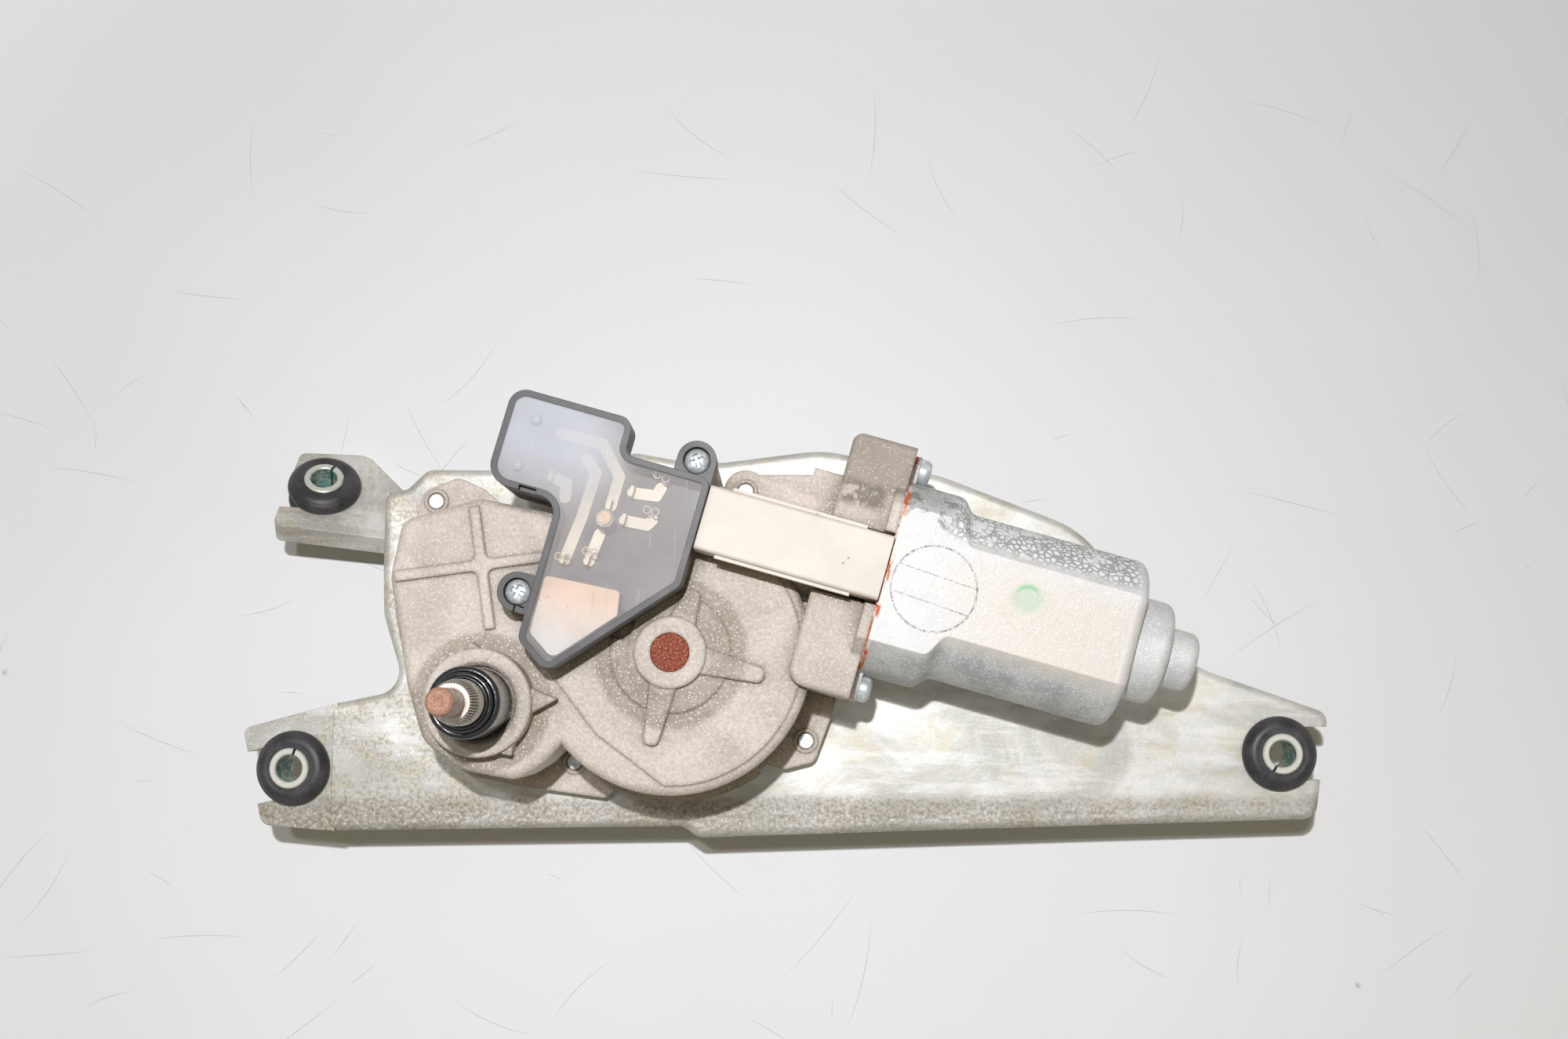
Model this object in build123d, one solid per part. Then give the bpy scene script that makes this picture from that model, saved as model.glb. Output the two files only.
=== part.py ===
"""Rear wiper motor: a worm-geared motor whose linkage turns full rotation into a sweep of the wiper spindle.

Millimetres. The spindle stands along +Z through the origin, and the origin is at the foot of its thread.
Heights in this file are measured up from the underside of the bracket plate, and save() moves each piece down
to the origin. The motor, gear housing and switch case lie in the motor frame: s runs along the motor shaft,
away from the spindle, t across it, and both start at the spindle.
"""

from build123d import *
import os
from math import acos, atan, atan2, cos, degrees, hypot, pi, radians, sin, tan

# Clearances
RUNNING = 0.05  # radial, shaft in bush
SLIP = 0.3  # between parts that move past each other

# Layout
MOTOR_TURN = -15.8  # the motor frame's turn about the spindle
WHEEL_S, WHEEL_T = 38.3, 22.7  # worm wheel's centre in the motor frame
FLANGE_S = 80.2  # face between gear housing and motor

# Heights above the bracket's underside
PLATE = 2.0  # bracket sheet
COVER_SHEET = 1.2
LIP_TOP = 7.0
WALL = 2.8
PANEL = 3.0
THREAD_LENGTH = 12.0

# Gears
MODULE = 1.25
WHEEL_TEETH = 42
WORM_PITCH_R = 4.35
WHEEL_FACE = 9.0
PINION_TEETH = 12
SECTOR_TEETH = 24
GEAR_BACKLASH = 0.16
WORM_BACKLASH = 0.24
PRESSURE_ANGLE = 20.0
WORM_LENGTH = 26.0

# Linkage
CRANK_R = 6.5
SECTOR_LINK = 36.0
PIN_R = 3.0

# Motor
SHAFT_R = 3.0
YOKE_SHEET = 1.6
YOKE_WIDE_R = 23.15
YOKE_WIDE_LENGTH = 12.5
YOKE_SHOULDER = 5.5  # run of the drawn shoulder between the two diameters
YOKE_R = 19.85
YOKE_FLAT = 17.0
YOKE_LENGTH = 59.0
YOKE_BOSS_R = 12.15
YOKE_BOSS_LENGTH = 8.7
YOKE_TIP_R = 7.0
YOKE_TIP_LENGTH = 7.5
MOTOR_SCREW_OFFSET = 26.4

# Spindle
SPINDLE_R = 5.0
BUSH_R = 6.9
RUBBER_CAP_R = 7.9
BOSS_R = 12.25
BOSS_RECESS_R = 8.4
BOSS_RECESS = 2.4
THREAD_R = 3.0
KNURL_TOP_R = 4.4

# Grommets
GROMMET_R = 9.1
GROMMET_NECK_R = 6.4
GROMMET_FLANGE = 3.9
SLEEVE_R = 4.9
SLEEVE_BORE_R = 3.25
SLEEVE_PROUD = 0.6
SLOT_FIT = 0.1

wheel_distance = hypot(WHEEL_S, WHEEL_T)
wheel_pitch_r = MODULE * WHEEL_TEETH / 2
worm_t = WHEEL_T + wheel_pitch_r + WORM_PITCH_R
worm_lead = pi * MODULE
lead_angle = atan(MODULE / (2 * WORM_PITCH_R))
pinion_pitch_r = MODULE * PINION_TEETH / 2
sector_pitch_r = MODULE * SECTOR_TEETH / 2
guide_length = pinion_pitch_r + sector_pitch_r
cover_top = PLATE + COVER_SHEET

# The yoke clears the bracket plate below it.
AXIS_Z = PLATE + YOKE_WIDE_R + 0.45
WASHER = 0.6
wheel_foot = AXIS_Z - WHEEL_FACE / 2
wheel_top = AXIS_Z + WHEEL_FACE / 2
HUB_DEPTH = 1.1  # hub below the wheel's rim
hub_foot = wheel_foot - HUB_DEPTH

# Levels of the housing, from the wheel up
panel_underside = wheel_top + WASHER + SLIP
PANEL_TOP = panel_underside + PANEL
WHEEL_BOSS_TOP = PANEL_TOP + 3.0
SPINDLE_BOSS_TOP = PANEL_TOP + 6.0
BUSH_TOP = SPINDLE_BOSS_TOP + 14.0
CAP_TOP = BUSH_TOP + 4.2
KNURL_FOOT = BUSH_TOP + 9.5
THREAD_FOOT = KNURL_FOOT + 6.5

# Levels of the linkage, from the cover up
SPINDLE_FOOT = 3.7
GUIDE_FOOT = 4.2
GUIDE_SHEET = 4.2
LINK_FOOT = 9.2
LINK_SHEET = 7.0
PINION_TOP = 18.7
BUSH_FOOT = 19.4

# Switch case
CASE_LUGS = ((32.7, 65.6), (2.3, 26.3))
CASE_LUG_R = 4.5
CASE_SCREW_R = 1.6
CASE_SCREW_REACH = 8.0
CASE_HEAD_R = 2.9
CASE_HEAD = 2.6
CASE_LUG_DROP = 2.5
BRIDGE_S = (37.4, FLANGE_S)
BRIDGE_T = (46.3, 61.2)
BRIDGE_HEIGHT = 8.7
BRIDGE_FIT = 0.2
FINGER_WINDOW = ((19.0, 22.5), (28.5, 29.0))


def motor(s, t):
    """Motor frame to bracket frame."""
    turn = radians(MOTOR_TURN)
    return (s * cos(turn) - t * sin(turn), s * sin(turn) + t * cos(turn))


def in_motor_frame(shape):
    return Rot(0, 0, MOTOR_TURN) * shape


def disc(x, y, r, z0, z1):
    return Pos(x, y, z0) * Cylinder(r, z1 - z0, align=(Align.CENTER, Align.CENTER, Align.MIN))


def block(x0, x1, y0, y1, z0, z1):
    low = (Align.MIN, Align.MIN, Align.MIN)
    return Pos(x0, y0, z0) * Box(x1 - x0, y1 - y0, z1 - z0, align=low)


def along(r, s0, s1, t=None, z=None):
    """Cylinder along the motor shaft's direction, in the motor frame."""
    centre = (s0, worm_t if t is None else t, AXIS_Z if z is None else z)
    place = Plane(origin=centre, x_dir=(0, 1, 0), z_dir=(1, 0, 0))
    return place * Cylinder(r, s1 - s0, align=(Align.CENTER, Align.CENTER, Align.MIN))


def outline(points, radii):
    """Face with straight sides and rounded corners."""
    wire = Wire(FilletPolyline(*points, radius=radii, close=True).edges())
    return Face(wire)


def prism(face, z0, z1):
    return Pos(0, 0, z0) * extrude(face, z1 - z0)


def save(name, shape):
    solids = list(shape.solids())
    for solid in solids:
        if not solid.is_valid:
            print("not valid:", name)
    whole = solids[0] if len(solids) == 1 else Compound(children=solids)
    export_step(Pos(0, 0, -THREAD_FOOT) * whole, f"parts/{name}.step")


# ---------------------------------------------------------------- bracket and its rubber mounts

RIM = 4.0  # how far the rim hangs below the plate
RIM_ROUND = 2.0
STRIP_Y = -21.5  # where the front strip starts to slope down
STRIP_SLOPE = 20.0
BRACKET_OUTLINE = [  # corner and its rounding
    ((-31.0, 33.0), 3),
    ((-31.0, 52.5), 2.4),
    ((-25.4, 53.4), 3),
    ((-20.4, 58.4), 4),
    ((-5.0, 58.2), 8),
    ((32.0, 62.6), 5),
    ((44.0, 60.4), 10),
    ((54.0, 60.2), 10),
    ((79.0, 63.4), 30),
    ((108.5, 56.7), 24),
    ((142.8, 43.4), 24),
    ((169.2, 9.6), 24),
    ((203.4, -2.4), 3),
    ((199.6, -28.2), 4),
    ((146.0, -29.7), 20),
    ((48.0, -32.7), 2.4),
    ((44.0, -29.9), 2.4),
    ((-42.0, -31.0), 0),
    ((-42.0, 0.0), 0),
    ((-24.8, 3.5), 6),
    ((-30.6, 22.0), 10),
]

# Each arm: grommet centre, direction in which its slot opens, lean of the grommet, the way it leans and how far
# its centre lies below the plate. Its outline is a plan view: corner and its rounding.
UPPER_ARM = {"centre": (-49.4, 54.3), "opens": 186.0, "lean": 36.0, "toward": 74.0, "drop": 12.0}
LOWER_ARM = {"centre": (-51.3, -15.7), "opens": 193.0, "lean": 4.0, "toward": 180.0, "drop": 0.9}
RIGHT_ARM = {"centre": (190.3, -12.2), "opens": 0.0, "lean": 0.0, "toward": 0.0, "drop": 0.0}
ARMS = {"upper_left": UPPER_ARM, "lower_left": LOWER_ARM, "right": RIGHT_ARM}
UPPER_ARM_OUTLINE = [
    ((-29.8, 40.6), 1), ((-29.8, 54.2), 1), ((-34.4, 58.4), 3), ((-40.4, 64.3), 6), ((-57.4, 64.6), 2),
    ((-59.8, 44.2), 2),
]
LOWER_ARM_OUTLINE = [
    ((-41.0, -31.0), 0), ((-41.0, 0.1), 0), ((-46.6, -1.3), 3), ((-64.6, -6.1), 2), ((-59.2, -29.6), 3),
]


def arm_plane(arm):
    """Plane in the middle of the arm's sheet, its x axis toward the slot's mouth."""
    x, y = arm["centre"]
    lean, toward, opens = radians(arm["lean"]), radians(arm["toward"]), radians(arm["opens"])
    normal = Vector(sin(lean) * cos(toward), sin(lean) * sin(toward), cos(lean))
    out = Vector(cos(opens), sin(opens), 0)
    out = (out - normal * out.dot(normal)).normalized()
    return Plane(origin=(x, y, PLATE / 2 - arm["drop"]), x_dir=out, z_dir=normal)


def on_arm(arm, x, y):
    """Point of the plan, seen from above, as the arm plane's own coordinates."""
    plane = arm_plane(arm)
    offset_xy = Vector(x, y, 0) - Vector(*arm["centre"], 0)
    rise = -offset_xy.dot(plane.z_dir) / plane.z_dir.Z
    reach = offset_xy + Vector(0, 0, rise)
    return (reach.dot(plane.x_dir), reach.dot(plane.y_dir))


def arm_height(arm, x, y):
    """Height of the arm's middle surface over a point of the plan."""
    plane = arm_plane(arm)
    offset_xy = Vector(x, y, 0) - Vector(*arm["centre"], 0)
    return PLATE / 2 - arm["drop"] - offset_xy.dot(plane.z_dir) / plane.z_dir.Z


def slot(length):
    """Open slot for a grommet's neck, from the origin along +X."""
    r = GROMMET_NECK_R + SLOT_FIT
    return disc(0, 0, r, -20, 20) + block(0, length, -r, r, -20, 20)


def bent_arm(arm, corners):
    points = [on_arm(arm, x, y) for (x, y), _ in corners]
    face = outline(points, [r for _, r in corners])
    if face.normal_at().Z < 0:
        face = -face
    half = PLATE / 2
    inside = offset(face, -PLATE, kind=Kind.INTERSECTION)
    body = prism(face, -half - RIM, half) - prism(inside, -half - RIM, -half)
    return arm_plane(arm) * (body - slot(20))


def mounting_bracket():
    points, radii = zip(*BRACKET_OUTLINE)
    face = outline(points, radii)
    if face.normal_at().Z < 0:
        face = -face
    body = prism(face, -RIM, PLATE)
    fold = min(x for (x, y), _ in BRACKET_OUTLINE)
    rim = body.faces().sort_by(Axis.Z)[-1].edges()
    body = fillet([edge for edge in rim if edge.center().X > fold + 0.1], RIM_ROUND)
    inside = offset(face, -PLATE, kind=Kind.INTERSECTION)
    drop = 30 * tan(radians(STRIP_SLOPE))
    slope = Polygon((STRIP_Y, 0), (STRIP_Y - 30, -drop), (STRIP_Y - 30, 10), (STRIP_Y, 10), align=None)
    wedge = extrude(Plane(origin=(-100, 0, PLATE), x_dir=(0, 1, 0), z_dir=(1, 0, 0)) * slope, 320)
    body -= wedge
    body -= prism(inside, -RIM, 0) - Pos(0, 0, -PLATE) * wedge
    body -= Pos(*RIGHT_ARM["centre"], 0) * slot(30)
    for s, t in SCREW_TABS.values():
        body -= disc(*motor(s, t), COVER_SCREW_R + 0.2, -RIM, PLATE)
    body += bent_arm(LOWER_ARM, LOWER_ARM_OUTLINE)
    body -= block(-45.5, -36, -27, -3, -RIM - 3, -0.6)
    body += bent_arm(UPPER_ARM, UPPER_ARM_OUTLINE) + arm_step()
    for arm in ARMS.values():
        body -= arm_plane(arm) * grommet_room()
    return body


def grommet_room():
    """Space round a grommet's two flanges."""
    r, half = GROMMET_R + 0.25, PLATE / 2
    return disc(0, 0, r, half, half + 12) + disc(0, 0, r, -half - 12, -half)


def arm_step():
    """The sheet's drop from the plate to the upper arm, along the plate's left edge."""
    x = BRACKET_OUTLINE[0][0][0] + 0.3
    near, far = BRACKET_OUTLINE[0][0][1] + 3, BRACKET_OUTLINE[1][0][1]
    low_near, low_far = arm_height(UPPER_ARM, x, near), arm_height(UPPER_ARM, x, far)
    corners = [(near, low_near), (far, low_far), (far, PLATE / 2), (near, PLATE / 2)]
    wall = Plane(origin=(x, 0, 0), x_dir=(0, 1, 0), z_dir=(1, 0, 0)) * Polygon(*corners, align=None)
    return extrude(wall, PLATE)


def grommet():
    """Rubber ring with a groove for the bracket's sheet, its two flanges rounded like a ring doughnut."""
    half, top = PLATE / 2, PLATE / 2 + GROMMET_FLANGE
    rim, brow, inner = (GROMMET_R - 0.3, half), (GROMMET_R - 0.9, top - 0.9), (SLEEVE_R + 0.9, top)
    crown = ((brow[0] + inner[0]) / 2 + 0.25, top - 0.15)

    def flange(side):
        flip = lambda point: (point[0], side * point[1])
        return [Line(flip((GROMMET_NECK_R, half)), flip(rim)),
                ThreePointArc(flip(rim), flip((GROMMET_R, half + 1.2)), flip(brow)),
                ThreePointArc(flip(brow), flip(crown), flip(inner)),
                Line(flip(inner), flip((SLEEVE_R, top)))]

    neck = Line((GROMMET_NECK_R, -half), (GROMMET_NECK_R, half))
    face = Face(Wire([neck, *flange(1), Line((SLEEVE_R, top), (SLEEVE_R, -top)), *reversed(flange(-1))]))
    return revolve(Plane.XZ * face, Axis.Z)


def sleeve():
    """Rolled steel spacer tube with its open seam."""
    half = PLATE / 2 + GROMMET_FLANGE + SLEEVE_PROUD
    tube = disc(0, 0, SLEEVE_R, -half, half) - disc(0, 0, SLEEVE_BORE_R, -half, half)
    tube = chamfer(tube.edges().filter_by(GeomType.CIRCLE), 0.3)
    return tube - block(0, SLEEVE_R + 1, -0.35, 0.35, -half, half)


def rubber_mounts():
    for name, arm in ARMS.items():
        save("grommet_" + name, arm_plane(arm) * grommet())
        save("sleeve_" + name, arm_plane(arm) * Rot(0, 0, -120) * sleeve())


# ---------------------------------------------------------------- gear housing

DRUM_R = 32.4
DRUM_CAVITY_R = 28.6
LIP = 1.6  # how far the base lip stands out
CHAMBER_OUTLINE = [  # corner and its rounding
    ((-29.9, 35.2), 4), ((-28.8, 22.0), 8), ((-17.6, -1.0), 9), ((-10.5, -12.0), 7), ((0.0, -15.8), 9),
    ((12.6, -14.6), 5), ((17.2, -9.6), 3), ((20.8, -3.0), 1), ((40.0, 10.0), 4), ((40.0, 30.0), 4),
    ((30.0, 46.5), 4), ((4.0, 46.4), 2), ((-14.2, 44.9), 3),
]
BASE_OUTLINE = [
    ((-33.3, 39.0), 2.5), ((-33.3, 44.6), 3), ((-26.2, 50.4), 4), ((-19.8, 49.4), 3), ((-13.5, 46.6), 1.5),
    ((4.0, 48.0), 1), ((30.0, 48.0), 2), ((40.0, 30.0), 4), ((40.0, 0.0), 2), ((31.0, -14.9), 1.2),
    ((9.7, -17.8), 12),
    ((-2.6, -18.6), 8), ((-14.5, -13.4), 8), ((-23.6, 0.0), 8), ((-31.4, 14.0), 8), ((-33.4, 26.0), 6),
]
FOOT_OUTLINE = [
    ((66.0, 3.4), 1), ((71.0, 3.6), 2.5), ((77.3, 7.2), 3), ((78.3, 19.2), 2), ((78.3, 36.0), 1), ((60.0, 30.0), 1),
]
LEDGE_R = 35.0  # ledge along the drum's lower side
LEDGE_TURN = (-102, -39)
SCREW_TABS = {"far_left": (-29.6, 43.1), "top": (43.1, 66.2), "right": (73.9, 11.5), "bottom": (21.4, -8.6)}
TAB_R = 5.4
COVER_SCREW_R = 1.7
TUNNEL_R = 10.4
TUNNEL_START = 8.0
WORM_BORE_R = 6.6
BEARING_R = 8.0
BEARING_LENGTH = 6.0
BEARING_S = 67.0
END_BUSH_R = 4.8
END_BUSH_S = (13.0, 20.0)
MOTOR_FLANGE = 2.4
LUG_R = 3.4
LUG_START = 65.3
# Levels of each screw block: where it starts, its inner edge's distance from the shaft, its top
LOWER_LUG = ((LUG_START, 7.6, AXIS_Z + 12.4),)
UPPER_LUG = ((LUG_START, 8.6, AXIS_Z + 12.4), (LUG_START + 1.6, 20.0, AXIS_Z + 9.4))
MOTOR_SCREW_R = 1.9
MOTOR_SCREW_HEAD_R = 3.1
MOTOR_SCREW_HEAD = 2.8
CASE_FLOOR = AXIS_Z + TUNNEL_R + 0.3
bridge_top = CASE_FLOOR + BRIDGE_HEIGHT
RIB = 2.4
RIB_CROSS = (-8.5, 30.4)
RIB_RUNS = (((-27.4, 22.2), (4.1, 35.8)), ((-14.6, 42.6), (-2.9, 16.6)))
SPIKE_TIPS = ((-5.5, 12.8), (16.7, 5.6), (10.6, -9.2), (-12.6, 5.0))
WEB_ENDS = ((39.7, 37.9), (60.4, 23.3), (39.7, 1.3))
DRUM_PANEL = ((4.9, 17.0), (27.0, 0.4), (80.0, -20.0), (80.0, 60.0), (4.9, 60.0))
BOSS_STEP_R = 13.8
WHEEL_PIN_R = 4.5
WHEEL_BOSS_R = 8.3


def oriented(face):
    return -face if face.normal_at().Z < 0 else face


def rounded(points_and_radii, grow=0.0):
    """Face from corners with their roundings, grown or shrunk on every side."""
    points, radii = zip(*points_and_radii)
    face = oriented(outline(points, radii))
    return oriented(offset(face, grow, kind=Kind.INTERSECTION).face()) if grow else face


def housing_plan():
    """Outline of the base sheet, with the screw tabs."""
    plan = rounded(BASE_OUTLINE) + rounded(FOOT_OUTLINE) + Pos(WHEEL_S, WHEEL_T) * Circle(DRUM_R + LIP)
    reach = 1.5 * LEDGE_R
    ends = [(reach * cos(radians(turn)), reach * sin(radians(turn))) for turn in LEDGE_TURN]
    sector = Polygon((0, 0), *ends, align=None)
    plan += Pos(WHEEL_S, WHEEL_T) * (Circle(LEDGE_R) & sector)
    low_t, high_t = worm_t - TUNNEL_R - 1, worm_t + TUNNEL_R + 1
    middle = ((TUNNEL_START + FLANGE_S) / 2, (low_t + high_t) / 2)
    plan += Pos(*middle) * Rectangle(FLANGE_S - TUNNEL_START, high_t - low_t)
    plan += Polygon((72.0, 62.0), (68.0, 77.6), (39.0, 69.5), (38.0, 62.0), align=None)
    s, t = SCREW_TABS["top"]
    plan += Pos(s, t) * Circle(TAB_R)
    ear = worm_t - MOTOR_SCREW_OFFSET
    return plan + Pos((58 + FLANGE_S) / 2, worm_t) * Rectangle(FLANGE_S - 58, 2 * (worm_t - ear) - 6)


def gear_housing():
    base = prism(housing_plan().face(), cover_top, LIP_TOP)
    body = prism(rounded(CHAMBER_OUTLINE), LIP_TOP, PANEL_TOP)
    body += disc(WHEEL_S, WHEEL_T, DRUM_R, LIP_TOP, PANEL_TOP)
    body = fillet(body.faces().sort_by(Axis.Z)[-1].edges(), 2.0)
    body += base
    body += along(TUNNEL_R, TUNNEL_START, FLANGE_S)
    body += block(TUNNEL_START, FLANGE_S, worm_t - TUNNEL_R, worm_t + TUNNEL_R, cover_top, AXIS_Z)
    body += motor_seat()
    body += boss(0, 0, BOSS_R, SPINDLE_BOSS_TOP)
    body += boss(WHEEL_S, WHEEL_T, WHEEL_BOSS_R, WHEEL_BOSS_TOP)
    body += panel_cross() + boss_spikes() + wheel_boss_webs() + case_posts()
    body -= gear_chamber()
    body += disc(0, 0, BOSS_R, BUSH_FOOT, panel_underside)
    body += disc(WHEEL_S, WHEEL_T, WHEEL_BOSS_R, wheel_top + WASHER, panel_underside)
    room = BRIDGE_FIT + 0.8
    body -= block(BRIDGE_S[0], FLANGE_S, BRIDGE_T[0] - room, BRIDGE_T[1] + room, CASE_FLOOR, 60)
    (s0, t0), (s1, t1) = FINGER_WINDOW
    body -= block(s0, s1, t0, t1, panel_underside - 10, 60)
    body -= disc(0, 0, BUSH_R, 0, 60)
    recess = disc(0, 0, BOSS_RECESS_R, SPINDLE_BOSS_TOP - BOSS_RECESS, 60)
    body -= recess + Pos(0, 0, SPINDLE_BOSS_TOP - 0.4) * Cone(BOSS_RECESS_R, BOSS_RECESS_R + 0.8, 0.8)
    body -= disc(WHEEL_S, WHEEL_T, WHEEL_PIN_R, 0, 60)
    body -= case_screw_holes()
    for s, t in SCREW_TABS.values():
        body -= disc(s, t, COVER_SCREW_R, 0, LIP_TOP + 3)
    body -= along(WORM_BORE_R, END_BUSH_S[1] - 1, FLANGE_S) + along(END_BUSH_R, *END_BUSH_S)
    body -= along(BEARING_R, BEARING_S, FLANGE_S)
    for side in (-1, 1):
        body -= along(MOTOR_SCREW_R, LUG_START + 3, FLANGE_S, worm_t + side * MOTOR_SCREW_OFFSET)
    return in_motor_frame(body)


def boss(s, t, r, top):
    """Round boss on the base, its top edge rounded."""
    body = disc(s, t, r, LIP_TOP, top)
    return fillet(body.faces().sort_by(Axis.Z)[-1].edges(), 0.8)


def raised(face, foot, top, edge):
    """Low form on the panel with a rounded top edge."""
    body = prism(face, foot, top)
    return fillet(body.faces().sort_by(Axis.Z)[-1].edges(), edge)


def motor_seat():
    """Flange for the motor with a rounded block for each screw."""
    ring = flat_ring(0, FLANGE_S - MOTOR_FLANGE, FLANGE_S)
    bar = block(FLANGE_S - MOTOR_FLANGE, FLANGE_S, worm_t - MOTOR_SCREW_OFFSET, worm_t + MOTOR_SCREW_OFFSET,
                AXIS_Z - LUG_R, AXIS_Z + LUG_R)
    seat = (ring + bar) & block(0, 100, 0, 100, cover_top, 100)
    seat += block(BEARING_S - WALL, FLANGE_S, worm_t - TUNNEL_R - 4, worm_t + TUNNEL_R + 4, cover_top, AXIS_Z)
    for side, levels in ((-1, LOWER_LUG), (1, UPPER_LUG)):
        t = worm_t + side * MOTOR_SCREW_OFFSET
        seat += along(LUG_R, LUG_START, FLANGE_S, t)
        for start, inner, top in levels:
            edge = t + side * LUG_R
            corner = 4.0 if side < 0 else 2.5
            root = worm_t + side * inner
            plan = [(start, root), (start, edge), (FLANGE_S, edge), (FLANGE_S, root)]
            lug = prism(rounded(list(zip(plan, (1, corner, 0, 0)))), LIP_TOP - 1, top)
            rim = [e for e in lug.faces().sort_by(Axis.Z)[-1].edges() if e.center().X < FLANGE_S - 0.1]
            seat += fillet(rim, 1.2)
    return seat


def panel_cross():
    """Stiffening cross on the flat panel, its arms running out before the edge."""
    arms = []
    for (s0, t0), (s1, t1) in RIB_RUNS:
        turn, length = degrees(atan2(t1 - t0, s1 - s0)), hypot(s1 - s0, t1 - t0)
        arms.append(Pos((s0 + s1) / 2, (t0 + t1) / 2) * Rot(0, 0, turn) * Rectangle(length, RIB))
    cross = arms[0] + arms[1]
    inner = [v for v in cross.vertices() if hypot(v.X - RIB_CROSS[0], v.Y - RIB_CROSS[1]) < 2 * RIB]
    cross = fillet(inner, 1.6)
    return raised(cross.face(), PANEL_TOP - 1, PANEL_TOP + 0.9, 0.45)


def boss_spikes():
    """Small pointed webs round the spindle boss."""
    spikes = []
    for s, t in SPIKE_TIPS:
        reach, turn = hypot(s, t), degrees(atan2(t, s))
        root = BOSS_R - 1.5
        face = Polygon((root, -3.4), (reach, 0), (root, 3.4), align=None)
        spikes.append(Rot(0, 0, turn) * prism(oriented(face.face()), PANEL_TOP - 1, SPINDLE_BOSS_TOP - 1.4))
    return spikes[0] + spikes[1] + spikes[2] + spikes[3]


def wheel_boss_webs():
    """Step round the wheel's boss, its three webs, and the drum's panel a little above the lever side's."""
    plate = Pos(WHEEL_S, WHEEL_T) * Circle(DRUM_R - 2.2)
    plate &= Polygon(*DRUM_PANEL, align=None)
    level = PANEL_TOP + 0.6
    forms = raised(oriented(plate.face()), PANEL_TOP - 1, level, 0.5)
    step = oriented(Circle(BOSS_STEP_R).face())
    forms += Pos(WHEEL_S, WHEEL_T) * raised(step, PANEL_TOP - 1, level + 0.6, 0.5)
    for s, t in WEB_ENDS:
        reach, turn = hypot(s - WHEEL_S, t - WHEEL_T), degrees(atan2(t - WHEEL_T, s - WHEEL_S))
        root = WHEEL_BOSS_R - 1
        web = outline([(root, -3.2), (reach, -1.7), (reach, 1.7), (root, 3.2)], [0, 1.6, 1.6, 0])
        web = Pos(WHEEL_S, WHEEL_T) * Rot(0, 0, turn) * oriented(web)
        forms += raised(web, PANEL_TOP - 1, PANEL_TOP + 2.2, 0.7)
    return forms


def gear_chamber():
    """The hollow for the wheel and the linkage, open at the bottom."""
    inside = prism(rounded(CHAMBER_OUTLINE, -WALL), 0, panel_underside)
    return inside + disc(WHEEL_S, WHEEL_T, DRUM_CAVITY_R, 0, panel_underside)


def case_posts():
    posts = [disc(s, t, CASE_LUG_R - 0.3, LIP_TOP, CASE_FLOOR) for s, t in CASE_LUGS]
    return posts[0] + posts[1]


def case_screw_holes():
    holes = [disc(s, t, CASE_SCREW_R, CASE_FLOOR - CASE_SCREW_REACH, CASE_FLOOR + 1) for s, t in CASE_LUGS]
    return holes[0] + holes[1]


def housing_cover():
    """Pressed sheet that closes the gear chamber."""
    cover = prism(housing_plan().face(), PLATE, cover_top)
    for s, t in SCREW_TABS.values():
        cover -= disc(s, t, COVER_SCREW_R, 0, cover_top)
    return in_motor_frame(cover)


def cover_screws():
    """Self-tapping screws through bracket and cover, their points just through the tabs."""
    screws = []
    for s, t in SCREW_TABS.values():
        head = disc(s, t, 3.4, -2.2, 0)
        screws.append(head + disc(s, t, COVER_SCREW_R, 0, LIP_TOP + 0.6))
    return in_motor_frame(Compound(children=screws))


# ---------------------------------------------------------------- gears and linkage


def gear_face(teeth, pitch_r, turn, backlash, count=None):
    """Spur gear section with involute flanks; a count gives a sector of so many teeth, closed at its centre."""
    pa = radians(PRESSURE_ANGLE)
    base = pitch_r * cos(pa)
    root, tip = pitch_r - 1.25 * MODULE, pitch_r + MODULE
    half_pitch = pi / (2 * teeth) - backlash / (2 * pitch_r)
    involute = tan(pa) - pa

    def half_angle(r):
        a = acos(min(1, base / r))
        return half_pitch + involute - (tan(a) - a)

    flank = [(root, half_angle(max(root, base)))]
    if root < base:
        flank.append((base, half_angle(base)))
    middle = (max(root, base) + tip) / 2
    flank += [(middle, half_angle(middle)), (tip, half_angle(tip))]
    points = []
    for k in range(count or teeth):
        centre = turn + k * 2 * pi / teeth
        side = [(r, centre - a) for r, a in flank] + [(r, centre + a) for r, a in reversed(flank)]
        points += [(r * cos(a), r * sin(a)) for r, a in side]
    if count:
        points.append((0, 0))
    return oriented(make_face(Polyline(*points, close=True)).face())


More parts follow.
